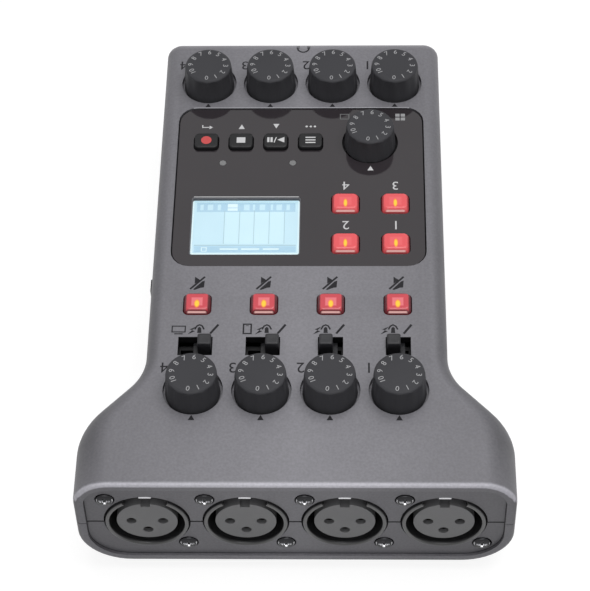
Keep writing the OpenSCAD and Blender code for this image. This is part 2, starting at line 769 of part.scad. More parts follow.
module knob(top) color("#38383b") difference() {
    rotate_extrude() polygon([
        [0, knob_socket_z], [shaft_r + run_gap, knob_socket_z], [shaft_r + run_gap, knob_z],
        [knob_base_dia / 2, knob_z], [knob_top_dia / 2, top - knob_bevel],
        [knob_top_dia / 2 - knob_bevel, top], [0, top]
    ]);
    for (i = [0:knob_grooves - 1]) rotate((i + 0.5) * 360 / knob_grooves)
        translate([knob_base_dia / 2 + groove_r - groove_depth, 0, knob_z])
            rotate([0, -knob_slope(top), 0]) post(groove_r, -cut, top - knob_z + cut);
}
module level_knob(i) translate([columns[i], level_y, 0]) knob(knob_top_z);
module phones_knob(i) translate([columns[i], phones_y, 0]) knob(knob_top_z);
module pad_knob() translate([pad_mid_x, pad_knob_y, 0]) knob(pad_knob_top_z);
module shaft() color("#b4b4b8") post(shaft_r, shaft_z, shaft_top_z);
module level_shaft(i) translate([columns[i], level_y, 0]) shaft();
module phones_shaft(i) translate([columns[i], phones_y, 0]) shaft();
module pad_shaft() translate([pad_mid_x, pad_knob_y, 0]) shaft();
module pot_bodies() color("#5d6166") put_at(knob_at) difference() {
    block(pot_w, pot_w, control_top_z, control_top_z + pot_h);
    post(shaft_r + run_gap, control_top_z + pot_floor, control_top_z + pot_h + cut);
}

module mic_switch(i) color("#242427") translate([mic_x(i), mic_y, 0]) {
    translate([0, slot_d / 2 - tab_w / 2 - free_gap - 0.15, 0])
        block(tab_w, tab_w, carrier_top_z - carrier_t, top_z + tab_rise);
    block(carrier_w, carrier_d, carrier_z, carrier_top_z);
    block(stem_l, stem_w, stem_z, carrier_z + carrier_t / 2);
}
module switch_body(w, slot_w) difference() {
    block(w, switch_d, control_top_z, switch_top_z);
    block(slot_w, stem_w + 2 * free_gap, stem_z - free_gap, switch_top_z + cut);
}
module slide_switch_bodies() color("#1f1f22") {
    for (i = [0:3]) translate([columns[i], mic_y, 0]) {
        slot = stem_l + mic_travel(i) + 2 * free_gap;
        switch_body(slot + 3, slot);
    }
    translate([power_x, power_y + power_travel / 2, 0]) difference() {
        block(power_body_d, power_slot_w + 3.5, main_top_z, power_z + 3);
        translate([-power_body_d / 2 - cut, -power_slot_w / 2, power_z - power_foot_h / 2 - free_gap])
            cube([power_body_d - 1.5 + cut, power_slot_w, power_foot_h + 2 * free_gap]);
    }
}

// Power switch on the side wall: tab outside, foot in the switch body
module power_slider() color("#242427") translate([0, power_y, power_z]) {
    out_x = -narrow_w / 2 - power_reach;
    foot_x = power_x + power_body_d / 2 - 2;
    translate([out_x, -power_tab_w / 2, -power_tab_h / 2])
        cube([-side_in_x - out_x, power_tab_w, power_tab_h]);
    translate([-side_in_x - weld, -power_foot_l / 2, -power_foot_h / 2])
        cube([foot_x + side_in_x + weld, power_foot_l, power_foot_h]);
}

// Key with a bevelled cap, a flange that keeps it under the roof and a plunger over its lamp
module key(w, d, top) {
    hull() {
        plate(w, d, key_corner, flange_top_z - flange_t, top - key_bevel);
        plate(w - 2 * key_bevel, d - 2 * key_bevel, key_corner, flange_top_z - flange_t, top);
    }
    plate(w + 2 * flange_lip, d + 2 * flange_lip, key_corner, flange_top_z - flange_t, flange_top_z);
    block(plunger_w, plunger_w, plunger_z, flange_top_z - flange_t / 2);
}
module mute_key(i) color("#d8504f") translate([columns[i], mute_y, 0])
    key(mute_w, mute_d, top_z + lit_rise);
module sound_pad(i) color("#d8504f") translate([pad_at[i][0], pad_at[i][1], 0])
    key(pad_w, pad_d, panel_z + lit_rise);
module transport_key(i) color("#262629") translate([key_x[i], key_y, 0])
    key(key_w, key_d, panel_z + key_rise);

module key_leds() color("#f0c04a") {
    for (x = columns) translate([x, mute_y, 0]) block(led_w, led_w, control_top_z, control_top_z + led_h);
    put_at(pad_at) block(led_w, led_w, control_top_z, control_top_z + led_h);
    for (x = lamp_x) translate([x, lamp_y, 0]) block(led_w, led_w, control_top_z, control_top_z + led_h);
}

module board(w, y0, y1, z) translate([-w / 2, y0, z]) cube([w, y1 - y0, board_t]);
module control_board() color("#2f5d3a") difference() {
    board(control_w, control_near_y, control_far_y, control_z);
    put_at(control_post_at) post(board_screw_r + run_gap, control_z - cut, control_top_z + cut);
}
module main_board() color("#2f5d3a") difference() {
    union() {
        board(main_w, main_near_y, main_neck_y, main_z);
        board(main_neck_w, main_neck_y - weld, main_far_y, main_z);
    }
    put_at(main_post_at) post(board_screw_r + run_gap, main_z - cut, main_top_z + cut);
}

module mini_jacks() color("#232326") jack_places() difference() {
    union() {
        translate([-jack_w / 2, -wall - seat_gap - jack_l, -jack_h / 2]) cube([jack_w, jack_l, jack_h]);
        along_y(jack_nose_r, -wall - seat_gap - weld, -0.3);
    }
    along_y(jack_bore_r, -wall - seat_gap - jack_l + 1, cut);
}
module usb_ports() color("#b0b0b4") usb_places() {
    difference() {
        stadium(usb_w, usb_h, -usb_l, -0.4);
        stadium(usb_w - 2 * usb_wall, usb_h - 2 * usb_wall, -usb_l + 1, cut);
    }
    translate([-3.3, -usb_l + 1 - weld, -0.35]) cube([6.6, usb_l - 2.4 + weld, 0.7]);
}
module card_socket() color("#a7a7ab") translate([-side_in_x + seat_gap, card_y, main_top_z]) difference() {
    translate([0, -card_w / 2, 0]) cube([card_l, card_w, card_h]);
    translate([-cut, -card_slot_w / 2, (card_h - card_slot_h) / 2])
        cube([card_l - 2 + cut, card_slot_w, card_slot_h]);
}

module aa_cells() color("#9aa0a6") for (s = [-1, 1]) translate([0, bay_y + s * cell_spread / 2, cell_z]) {
    along_x(cell_dia / 2, -cell_l / 2, cell_l / 2 - 1);
    along_x(2.7, cell_l / 2 - 1 - weld, cell_l / 2);
}
module battery_contacts() color("#c9c9cc") for (s = [-1, 1], e = [-1, 1])
    translate([0, bay_y + s * cell_spread / 2, cell_z]) {
        wall_x = bay_l / 2;
        translate([e > 0 ? wall_x - contact_t : -wall_x, -contact_w / 2, -contact_h / 2])
            cube([contact_t, contact_w, contact_h]);
        if (e > 0) along_x(contact_bump_r, cell_l / 2 + 0.1, wall_x - contact_t / 2);
        else along_x(contact_bump_r, contact_t / 2 - wall_x, -cell_l / 2 - 0.1);
    }

top_shell();
bottom_shell();
control_panel();
display_window();
lcd_module();
indicator_lenses();
battery_door();
rubber_feet();
case_screws();
board_screws();
xlr_sockets();
xlr_inserts();
xlr_contacts();
xlr_latches();
xlr_screws();
for (i = [0:3]) {
    level_knob(i);
    phones_knob(i);
    level_shaft(i);
    phones_shaft(i);
    mic_switch(i);
    mute_key(i);
    sound_pad(i);
}
pad_knob();
pad_shaft();
pot_bodies();
slide_switch_bodies();
transport_key(0);  // record_key
transport_key(1);  // stop_key
transport_key(2);  // play_key
transport_key(3);  // menu_key
key_leds();
control_board();
main_board();
mini_jacks();
usb_ports();
card_socket();
power_slider();
aa_cells();
battery_contacts();
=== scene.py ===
"""Looks of a four-track podcast recorder, fitted to its packed solids.

The file is laid out as an add-on and is run as a script. Shapes are worked out in millimetres in the packed
model's frame and become meshes in metres, so that every piece lies where its solid is."""

import math

import bmesh
import bpy
from bpy.props import FloatProperty, FloatVectorProperty, IntProperty, PointerProperty
from bpy.types import Operator, Panel, PropertyGroup
from mathutils import Matrix, Vector


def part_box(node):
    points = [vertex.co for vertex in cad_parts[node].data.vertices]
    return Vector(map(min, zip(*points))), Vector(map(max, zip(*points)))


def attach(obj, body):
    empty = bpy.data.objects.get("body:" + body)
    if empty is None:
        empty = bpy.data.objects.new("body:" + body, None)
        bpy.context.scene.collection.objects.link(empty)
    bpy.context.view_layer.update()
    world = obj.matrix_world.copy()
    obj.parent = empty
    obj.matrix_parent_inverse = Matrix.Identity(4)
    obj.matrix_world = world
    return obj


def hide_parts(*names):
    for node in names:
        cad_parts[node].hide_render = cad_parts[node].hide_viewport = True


bl_info = {
    "name": "Podcast Recorder",
    "version": (1, 0, 0),
    "blender": (4, 5, 0),
    "location": "View3D > Sidebar > Recorder",
    "description": "Case, knobs, lit keys, sockets and studio stage of a four-track podcast recorder",
    "category": "Object",
}

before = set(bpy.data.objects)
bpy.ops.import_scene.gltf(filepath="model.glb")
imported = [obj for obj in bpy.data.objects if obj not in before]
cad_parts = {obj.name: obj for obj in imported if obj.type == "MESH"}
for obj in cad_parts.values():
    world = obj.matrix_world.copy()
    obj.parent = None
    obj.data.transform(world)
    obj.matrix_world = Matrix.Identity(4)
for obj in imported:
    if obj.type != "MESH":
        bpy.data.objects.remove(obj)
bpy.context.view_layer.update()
MM = 0.001


# Sizes and colours that a user would change


def length(name, description, default):
    return number(name, description, default, unit="LENGTH", precision=5)


def number(name, description, default, **more):
    return FloatProperty(name=name, description=description, default=default, **more)


def angle(name, description, degrees):
    return number(name, description, math.radians(degrees), subtype="ANGLE")


def colour(name, description, default):
    return FloatVectorProperty(
        name=name, description=description, default=default, size=3, min=0.0, max=1.0, subtype="COLOR"
    )


class RecorderSizes(PropertyGroup):
    """Sizes of the details that the looks add to the solids"""

    knob_ribs: IntProperty(name="Knob flutes", description="Flutes around one knob", default=12, min=3, max=40)
    flute_depth: length("Flute depth", "Depth of a flute in a knob's side", 0.00028)
    flute_width: length("Flute width", "Half width of a flute", 0.0011)
    digit_ring: length("Digit ring", "Radius of the ring of digits on a knob", 0.00495)
    digit_height: length("Digit height", "Height of a digit on a knob", 0.00145)
    number_height: length("Number height", "Height of a channel number on the case", 0.0032)
    pad_number_height: length("Pad number height", "Height of a number beside a sound pad", 0.0029)
    ink: length("Ink", "Thickness of printed marks", 0.00004)
    case_edge: length("Case edge", "Width of the broken edges of the case's openings", 0.00022)
    cap_draft: length("Cap draft", "How far a lit cap narrows from its base to its top", 0.0005)


class RecorderFinish(PropertyGroup):
    """Colours of the finishes, as linear values"""

    case_paint: colour("Case paint", "Satin metallic paint of the case", (0.211, 0.207, 0.227))
    panel_black: colour("Panel", "Gloss black of the control panel", (0.032, 0.027, 0.031))
    knob_black: colour("Knobs", "Moulded black of the knobs", (0.050, 0.050, 0.055))
    key_black: colour("Keys", "Moulded black of the transport keys and switch tabs", (0.007, 0.007, 0.008))
    pad_red: colour("Pads", "Red of the lit sound pads", (0.55, 0.065, 0.074))
    mute_red: colour("Mute keys", "Red of the lit mute keys", (0.42, 0.042, 0.056))
    # Painted highlight along the near edge of the lit caps
    cap_pale: colour("Lit caps' glow", "Pale red where the light of a cap gathers", (0.64, 0.36, 0.34))
    lamp_yellow: colour("Lamps", "Yellow heart of the lamps in the lit caps", (0.70, 0.44, 0.03))
    display_lit: colour("Display", "Lit field of the display", (0.58, 0.84, 0.96))
    display_tracks: colour("Display tracks", "Field behind the display's upright lines", (0.62, 0.88, 0.98))
    display_edge: colour("Display border", "Bright border of the display", (0.75, 0.95, 1.0))
    display_band: colour("Display bands", "Bands across the display", (0.41, 0.67, 0.84))
    display_line: colour("Display lines", "Thin lines on the display", (0.36, 0.58, 0.68))
    dark_ink: colour("Dark marks", "Marks printed on the case", (0.012, 0.0115, 0.014))
    pale_ink: colour("Pale marks", "Marks printed on black pieces", (0.60, 0.60, 0.61))
    dial_ink: colour("Dials", "Digits printed on the knobs", (0.34, 0.34, 0.35))
    socket_black: colour("Sockets", "Moulded black of the microphone sockets", (0.022, 0.022, 0.023))
    core_grey: colour("Cores", "Grey of the sockets' insulating cores", (0.158, 0.158, 0.163))


class RecorderStage(PropertyGroup):
    """Camera, lamps and surroundings"""

    lens: number("Lens", "Focal length in millimetres", 136.98, min=10.0)
    camera_place: FloatVectorProperty(
        name="Camera", description="Place of the camera", default=(0.014725, -0.383734, 0.501889), subtype="TRANSLATION"
    )
    camera_tilt: angle("Tilt", "Camera's angle up from straight down", 38.378)
    camera_turn: angle("Turn", "Camera's angle around the upright axis", 2.411)
    camera_roll: angle("Roll", "Camera's angle around its own axis", -1.887)
    ambient: number("Ambient", "Level of the surrounding light", 0.28, min=0.0)
    top_lamp: number("Top lamp", "Power of the overhead lamp", 6.6, unit="POWER")
    front_lamp: number("Front lamp", "Power of the front lamp", 2.0, unit="POWER")
    floor_tone: number("Floor tone", "Grey of the floor as the object sees it", 0.5)
    floor_shadow: number("Floor shadow", "How strongly the floor shows shadows", 0.25)


def sizes():
    return bpy.context.scene.recorder_sizes


def finish():
    return bpy.context.scene.recorder_finish


def in_mm(value):
    return value / MM


# Main places in millimetres, as the solids have them


def box_mm(node):
    """Low and high corner of a CAD node's box"""
    return [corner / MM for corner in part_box(node)]


def spot(node):
    """Middle of a CAD node's box"""
    low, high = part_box(node)
    return (low + high) / 2 / MM


def reach(node, axis):
    """Low and high end of a CAD node's box along an axis"""
    return tuple(corner[axis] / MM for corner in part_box(node))


CHANNELS = range(1, 5)
COLUMNS = [spot(f"level_knob_{n}").x for n in CHANNELS]
LEVEL_Y, PHONES_Y = spot("level_knob_1").y, spot("phones_knob_1").y
MUTE_Y, MIC_Y = spot("mute_key_1").y, spot("mic_switch_1").y
PAD_KNOB = tuple(spot("pad_knob").xy)
KEYS = ("record", "stop", "play", "menu")
KEY_X = [spot(f"{name}_key").x for name in KEYS]
KEY_Y = spot("record_key").y
PADS = [tuple(spot(f"sound_pad_{n}").xy) for n in CHANNELS]
DISPLAY = tuple(spot("display_window").xy)
NEAR_Y, FAR_Y = reach("top_shell", 1)
ROOF_Z, LEDGE_Z = reach("display_window", 2)
TOP_Z, PANEL_Z = reach("top_shell", 2)[1], reach("control_panel", 2)[1]
KNOB_Z, KNOB_TOP_Z = reach("level_knob_1", 2)
PAD_KNOB_TOP_Z = reach("pad_knob", 2)[1]
SOCKET_Z = spot("xlr_inserts").z

# Sizes that a box doesn't give: the keys and their stems, the display's opening, the flanges under the keys,
# the narrow body, the sockets' pitch and screws, the face behind the near rim, and the corners of the underside
MUTE_SIZE, PAD_SIZE, KEY_SIZE, STEM = (7.0, 6.4), (7.3, 6.3), (6.5, 5.3), 4.6
DISPLAY_W, DISPLAY_D, DISPLAY_R = 29.8, 20.4, 0.8
FLANGE_LOW, FLANGE_HIGH = ROOF_Z - 1.1, ROOF_Z - 0.3
WIDE_W, NARROW_W = 2 * reach("top_shell", 0)[1], 78.0
SOCKET_X = [25.0 * k for k in (1.5, 0.5, -0.5, -1.5)]
SOCKET_SCREW_X, SOCKET_SCREW_Y, SOCKET_SCREW_Z = 10.0, -77.4, 9.8
FACE_Y = NEAR_Y + 0.8
FEET = [(-35.5, -66), (35.5, -66), (-24, 66), (24, 66)]
CASE_SCREWS = [(-37.5, LEVEL_Y), (37.5, LEVEL_Y), (-33.3, 66), (33.3, 66)]

# Share of the paint's tone that is lost at the widest sides, as painted shade
PAINTED_SIDE_SHADE = 0.30
WHITE = (1.0, 1.0, 1.0, 1.0)


# Mesh work


class Blank:
    """Points in millimetres and faces of a piece, before they become a mesh"""

    def __init__(self):
        self.points = []
        self.faces = []
        self.slots = []

    def add(self, points, faces, slot=0):
        base = len(self.points)
        self.points.extend(points)
        self.faces.extend(tuple(base + i for i in face) for face in faces)
        self.slots.extend([slot] * len(faces))

    def stack(self, rings, slot=0, low=True, high=True):
        """Walls through equal rings of points that rise anticlockwise, with flat ends"""
        n = len(rings[0])
        faces = []
        for k in range(len(rings) - 1):
            for i in range(n):
                j = (i + 1) % n
                faces.append((k * n + i, k * n + j, (k + 1) * n + j, (k + 1) * n + i))
        if low:
            faces.append(tuple(range(n - 1, -1, -1)))
        if high:
            faces.append(tuple(range((len(rings) - 1) * n, len(rings) * n)))
        self.add([p for ring in rings for p in ring], faces, slot)

    def tower(self, w, d, at, rows, slot=0, low=True, high=True):
        """Block with round corners through rows of inset, corner radius and height"""
        rings = [round_rect(w - 2 * inset, d - 2 * inset, r, z, at) for inset, r, z in rows]
        self.stack(rings, slot, low, high)

    def stem(self, at, low, high, slot=0):
        """Square stem under a key"""
        self.tower(STEM, STEM, at, [(0.0, 0.3, low), (0.0, 0.3, high)], slot)


def round_rect(w, d, r, z, at=(0.0, 0.0), steps=6):
    """Ring of a rectangle with round corners"""
    ring = []
    for q, (sx, sy) in enumerate(((1, 1), (-1, 1), (-1, -1), (1, -1))):
        for i in range(steps + 1):
            a = math.radians(90 * q + 90 * i / steps)
            ring.append((at[0] + sx * (w / 2 - r) + r * math.cos(a), at[1] + sy * (d / 2 - r) + r * math.sin(a), z))
    return ring


def circle(r, z, steps, at=(0.0, 0.0)):
    return [
        (at[0] + r * math.cos(2 * math.pi * i / steps), at[1] + r * math.sin(2 * math.pi * i / steps), z)
        for i in range(steps)
    ]


def tidy_mesh(mesh, sharp=35.0, merge=2e-7, recalculate=True):
    """Merge doubles, close poles, and shade smooth between edges sharper than an angle"""
    work = bmesh.new()
    work.from_mesh(mesh)
    bmesh.ops.remove_doubles(work, verts=work.verts, dist=merge)
    bmesh.ops.dissolve_degenerate(work, dist=merge, edges=work.edges)
    if recalculate:
        bmesh.ops.recalc_face_normals(work, faces=work.faces)
    limit = math.radians(sharp)
    for face in work.faces:
        face.smooth = True
    for edge in work.edges:
        edge.smooth = len(edge.link_faces) == 2 and edge.calc_face_angle(0.0) < limit
    work.to_mesh(mesh)
    work.free()
    mesh.update()
    return mesh


def new_object(name, mesh):
    piece = bpy.data.objects.new(name, mesh)
    bpy.context.scene.collection.objects.link(piece)
    return piece


def in_metres(points):
    return [tuple(c * MM for c in point) for point in points]


def blank_object(name, blank, materials, sharp=35.0):
    mesh = bpy.data.meshes.new(name)
    mesh.from_pydata(in_metres(blank.points), [], blank.faces)
    for material in materials:
        mesh.materials.append(material)
    mesh.polygons.foreach_set("material_index", blank.slots)
    tidy_mesh(mesh, sharp)
    return new_object(name, mesh)


def settle(piece, body, slot, *nodes):
    """Fix a finished piece to its body, name its finish and say which solids it stands for"""
    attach(piece, body)
    if nodes:
        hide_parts(*nodes)
    return piece


def bake_modifiers(piece):
    """Turn a piece and its modifiers into a plain mesh"""
    bpy.context.view_layer.update()
    evaluated = piece.evaluated_get(bpy.context.evaluated_depsgraph_get())
    mesh = bpy.data.meshes.new_from_object(evaluated)
    old = piece.data
    piece.modifiers.clear()
    piece.data = mesh
    mesh.name = piece.name
    bpy.data.meshes.remove(old)
    return piece


def solid_copy(node, name, material, edge):
    """Copy of a solid with merged, smoothly shaded faces and edges broken to a width"""
    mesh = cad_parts[node].data.copy()
    for attribute in [a for a in mesh.attributes if a.name == "custom_normal"]:
        mesh.attributes.remove(attribute)
    mesh.materials.clear()
    mesh.materials.append(material)
    work = bmesh.new()
    work.from_mesh(mesh)
    bmesh.ops.remove_doubles(work, verts=work.verts, dist=1e-6)
    bmesh.ops.dissolve_degenerate(work, dist=1e-7, edges=work.edges)
    bmesh.ops.dissolve_limit(work, angle_limit=math.radians(0.03), verts=work.verts, edges=work.edges)
    work.to_mesh(mesh)
    work.free()
    tidy_mesh(mesh, 32.0, recalculate=False)
    piece = new_object(name, mesh)
    bevel = piece.modifiers.new("broken edges", "BEVEL")
    bevel.width = edge
    bevel.segments = 2
    bevel.limit_method = "ANGLE"
    bevel.angle_limit = math.radians(50)
    bevel.use_clamp_overlap = True
    weigh = piece.modifiers.new("flat faces lead", "WEIGHTED_NORMAL")
    weigh.keep_sharp = True
    weigh.weight = 80
    return bake_modifiers(piece)


def dress(node, name, look, edge, body, slot):
    """Stand a finished copy with broken edges in for a solid"""
    return settle(solid_copy(node, name, coat(look), edge), body, slot, node)


# Node trees


def feed(tree, node, inputs):
    """Give a node's inputs plain values, or link them to the sockets that feed them"""
    for key, value in inputs.items():
        if isinstance(value, bpy.types.NodeSocket):
            tree.links.new(value, node.inputs[key])
        else:
            node.inputs[key].default_value = value


def add_node(tree, kind, inputs=None, **settings):
    node = tree.nodes.new(kind)
    for name, value in settings.items():
        setattr(node, name, value)
    feed(tree, node, inputs or {})
    return node


def made_once(store, name):
    """Let a function make its data block only if there is none of that name yet"""

    def decorate(make):
        def get():
            return getattr(bpy.data, store).get(name) or make(name)

        get.__doc__ = make.__doc__
        return get

    return decorate


def node_tree(name, kind, inputs, output):
    """Group with named inputs and one output; gives the group and the sockets of its inputs"""
    tree = bpy.data.node_groups.new(name, kind)
    tree.interface.new_socket(name=output[0], in_out="OUTPUT", socket_type="NodeSocket" + output[1])
    for label, (socket_kind, value) in inputs.items():
        socket = tree.interface.new_socket(name=label, in_out="INPUT", socket_type="NodeSocket" + socket_kind)
        if value is not None:
            socket.default_value = value
    return tree, tree.nodes.new("NodeGroupInput").outputs


# Geometry Nodes


# Distance at which the sectors of a knob join
SECTOR_JOIN = 2e-6


def end_tree(tree, geometry, material):
    """Paint the result and put it out"""
    paint = add_node(tree, "GeometryNodeSetMaterial", {"Geometry": geometry, "Material": material})
    add_node(tree, "NodeGroupOutput", {"Geometry": paint.outputs["Geometry"]})


@made_once("node_groups", "pieces at places")
def repeat_tree(name):
    """Places copies of one piece on the points of the carrying mesh"""
    inputs = {"Places": ("Geometry", None), "Piece": ("Object", None), "Material": ("Material", None)}
    tree, given = node_tree(name, "GeometryNodeTree", inputs, ("Geometry", "Geometry"))
    piece = add_node(tree, "GeometryNodeObjectInfo", {"Object": given["Piece"]}).outputs["Geometry"]
    points = add_node(tree, "GeometryNodeInstanceOnPoints", {"Points": given["Places"], "Instance": piece})
    real = add_node(tree, "GeometryNodeRealizeInstances", {"Geometry": points.outputs["Instances"]})
    end_tree(tree, real.outputs["Geometry"], given["Material"])
    return tree


@made_once("node_groups", "sectors around an axis")
def ring_tree(name):
    """Turns copies of one sector around the upright axis and joins them"""
    inputs = {
        "Axis": ("Geometry", None), "Sector": ("Object", None), "Count": ("Int", None), "Material": ("Material", None),
    }
    tree, given = node_tree(name, "GeometryNodeTree", inputs, ("Geometry", "Geometry"))
    sector = add_node(tree, "GeometryNodeObjectInfo", {"Object": given["Sector"]}).outputs["Geometry"]
    line = add_node(tree, "GeometryNodeMeshLine", {"Offset": (0.0, 0.0, 0.0), "Count": given["Count"]})
    step = calculated(tree, "DIVIDE", 2 * math.pi, given["Count"])
    index = add_node(tree, "GeometryNodeInputIndex").outputs["Index"]
    turn = add_node(tree, "ShaderNodeCombineXYZ", {"Z": calculated(tree, "MULTIPLY", index, step)})
    points = add_node(
        tree,
        "GeometryNodeInstanceOnPoints",
        {"Points": line.outputs["Mesh"], "Instance": sector, "Rotation": turn.outputs["Vector"]},
    )
    real = add_node(tree, "GeometryNodeRealizeInstances", {"Geometry": points.outputs["Instances"]})
    joined = {"Geometry": real.outputs["Geometry"], "Distance": SECTOR_JOIN}
    merge = add_node(tree, "GeometryNodeMergeByDistance", joined)
    end_tree(tree, merge.outputs["Geometry"], given["Material"])
    return tree


def grow(name, tree, carrier, values):
    """Run a tree on a carrier mesh and keep the result as a plain mesh"""
    piece = new_object(name, carrier)
    modifier = piece.modifiers.new("grown", "NODES")
    modifier.node_group = tree
    sockets = {s.name: s.identifier for s in tree.interface.items_tree if s.in_out == "INPUT"}
    for label, value in values.items():
        modifier[sockets[label]] = value
    return bake_modifiers(piece)


def repeated(name, piece, places, material, sharp=35.0):
    """One mesh of a piece repeated at places in millimetres; the piece itself is used up"""
    carrier = bpy.data.meshes.new(name)
    carrier.from_pydata(in_metres(places), [], [])
    grown = grow(name, repeat_tree(), carrier, {"Piece": piece, "Material": material})
    discard(piece)
    tidy_mesh(grown.data, sharp)
    return grown


def discard(piece):
    mesh = piece.data
    bpy.data.objects.remove(piece)
    bpy.data.meshes.remove(mesh)


# Shader nodes, and groups of them for effects that several finishes share


def calculated(tree, operation, *values):
    return add_node(tree, "ShaderNodeMath", dict(enumerate(values)), operation=operation).outputs["Value"]


def mixed(tree, kind, share, first, second):
    """Blend of two values or two colours"""
    a, b, result = {"FLOAT": (2, 3, 0), "RGBA": (6, 7, 2)}[kind]
    return add_node(tree, "ShaderNodeMix", {0: share, a: first, b: second}, data_type=kind).outputs[result]


def mapped(tree, value, start, end, low=0.0, high=1.0, kind="LINEAR"):
    """Value carried from one span to another"""
    inputs = {"Value": value, "From Min": start, "From Max": end, "To Min": low, "To Max": high}
    return add_node(tree, "ShaderNodeMapRange", inputs, interpolation_type=kind).outputs["Result"]


def smooth(tree, value, start, end):
    """Share that rises smoothly from 0 to 1 between two values"""
    return mapped(tree, value, start, end, kind="SMOOTHSTEP")


def ramp(tree, value, stops):
    """Colour that runs through stops of place and tone"""
    node = add_node(tree, "ShaderNodeValToRGB", {"Fac": value})
    elements = node.color_ramp.elements
    for k in (0, -1):
        elements[k].position, elements[k].color = stops[k][0], (*stops[k][1], 1.0)
    for position, tone in stops[1:-1]:
        elements.new(position).color = (*tone, 1.0)
    return node.outputs["Color"]


def object_noise(tree, scale, detail):
    """Noise on Object coordinates"""
    place = add_node(tree, "ShaderNodeTexCoord").outputs["Object"]
    inputs = {"Vector": place, "Scale": scale, "Detail": detail, "Roughness": 0.55}
    return add_node(tree, "ShaderNodeTexNoise", inputs).outputs["Fac"]


@made_once("node_groups", "drifting tone")
def tone_group(name):
    """Colour that drifts slowly between two tones, with a fine fleck on top"""
    inputs = {
        "Tone": ("Color", (0.5, 0.5, 0.5, 1.0)),
        "Darker tone": ("Color", (0.4, 0.4, 0.4, 1.0)),
        "Drift scale": ("Float", 40.0),
        "Fleck scale": ("Float", 3000.0),
        "Fleck": ("Float", 0.3),
    }
    tree, given = node_tree(name, "ShaderNodeTree", inputs, ("Colour", "Color"))
    drift = object_noise(tree, given["Drift scale"], 2.0)
    fleck = object_noise(tree, given["Fleck scale"], 1.0)
    share = mapped(tree, mixed(tree, "FLOAT", given["Fleck"], drift, fleck), 0.32, 0.68)
    tone = mixed(tree, "RGBA", share, given["Darker tone"], given["Tone"])
    add_node(tree, "NodeGroupOutput", {"Colour": tone})
    return tree


@made_once("node_groups", "handled sheen")
def sheen_group(name):
    """Roughness that varies as a handled surface's does"""
    inputs = {"Smoothest": ("Float", 0.3), "Roughest": ("Float", 0.5), "Scale": ("Float", 60.0)}
    tree, given = node_tree(name, "ShaderNodeTree", inputs, ("Roughness", "Float"))
    noise = object_noise(tree, given["Scale"], 4.0)
    rough = mapped(tree, noise, 0.3, 0.7, given["Smoothest"], given["Roughest"])
    add_node(tree, "NodeGroupOutput", {"Roughness": rough})
    return tree


@made_once("node_groups", "fine grain")
def grain_group(name):
    """Fine moulded or sprayed grain, as a height"""
    inputs = {"Scale": ("Float", 4000.0), "Coarse share": ("Float", 0.3)}
    tree, given = node_tree(name, "ShaderNodeTree", inputs, ("Height", "Float"))
    fine = object_noise(tree, given["Scale"], 2.0)
    coarse = object_noise(tree, calculated(tree, "MULTIPLY", given["Scale"], 0.3), 1.0)
    add_node(tree, "NodeGroupOutput", {"Height": mixed(tree, "FLOAT", given["Coarse share"], fine, coarse)})
    return tree


# Finishes


def start_finish(name):
    """Material with a bare shader; gives the material, its tree and the shader"""
    material = bpy.data.materials.new(name)
    material.use_nodes = True
    tree = material.node_tree
    tree.nodes.clear()
    shader = add_node(tree, "ShaderNodeBsdfPrincipled")
    add_node(tree, "ShaderNodeOutputMaterial", {"Surface": shader.outputs["BSDF"]})
    return material, tree, shader


def add_group(tree, group, values):
    return add_node(tree, "ShaderNodeGroup", values, node_tree=group).outputs[0]


def shade(rgb, factor):
    return (rgb[0] * factor, rgb[1] * factor, rgb[2] * factor, 1.0)


def surface(name, rgb, drift, rough, grain, bump=0.0, metal=0.0, fleck=0.3, specular=0.5, tint=None):
    """Finish with a drifting tone, a handled sheen and a fine grain; tint works the tone over"""
    material, tree, shader = start_finish(name)
    if isinstance(rgb, str):
        rgb = getattr(finish(), rgb)
    spread = (1.0 - drift) / 2
    tones = {"Tone": shade(rgb, 1.0 + spread), "Darker tone": shade(rgb, 1.0 - spread)}
    tone = add_group(tree, tone_group(), {**tones, "Fleck scale": grain, "Fleck": fleck})
    sheen = add_group(tree, sheen_group(), {"Smoothest": rough[0], "Roughest": rough[1], "Scale": 70.0})
    inputs = {"Base Color": tint(tree, tone) if tint else tone, "Roughness": sheen}
    if bump:
        height = add_group(tree, grain_group(), {"Scale": grain, "Coarse share": 0.35})
        relief = add_node(tree, "ShaderNodeBump", {"Strength": bump, "Distance": 0.0001, "Height": height})
        inputs["Normal"] = relief.outputs["Normal"]
    feed(tree, shader, {**inputs, "Metallic": metal, "Specular IOR Level": specular})
    return material


def pearl(tree, tone):
    """Tint that darkens toward both sides, and lightens or darkens where the shell's own map says so"""
    light = add_node(tree, "ShaderNodeAttribute", attribute_name="light").outputs["Fac"]
    place = add_node(tree, "ShaderNodeTexCoord").outputs["Object"]
    aside = calculated(tree, "ABSOLUTE", add_node(tree, "ShaderNodeSeparateXYZ", {"Vector": place}).outputs["X"])
    side_shade_factor = calculated(tree, "MULTIPLY_ADD", aside, -PAINTED_SIDE_SHADE / (WIDE_W / 2 * MM), 1.0)
    share = calculated(tree, "ADD", light, side_shade_factor)
    return add_node(tree, "ShaderNodeVectorMath", {0: tone, "Scale": share}, operation="SCALE").outputs["Vector"]


def glinting(bright):
    """Tint that brightens where a piece's own glint map says so"""

    def tint(tree, tone):
        glint = add_node(tree, "ShaderNodeAttribute", attribute_name="glint").outputs["Fac"]
        return mixed(tree, "RGBA", glint, tone, (*bright, 1.0))

    return tint


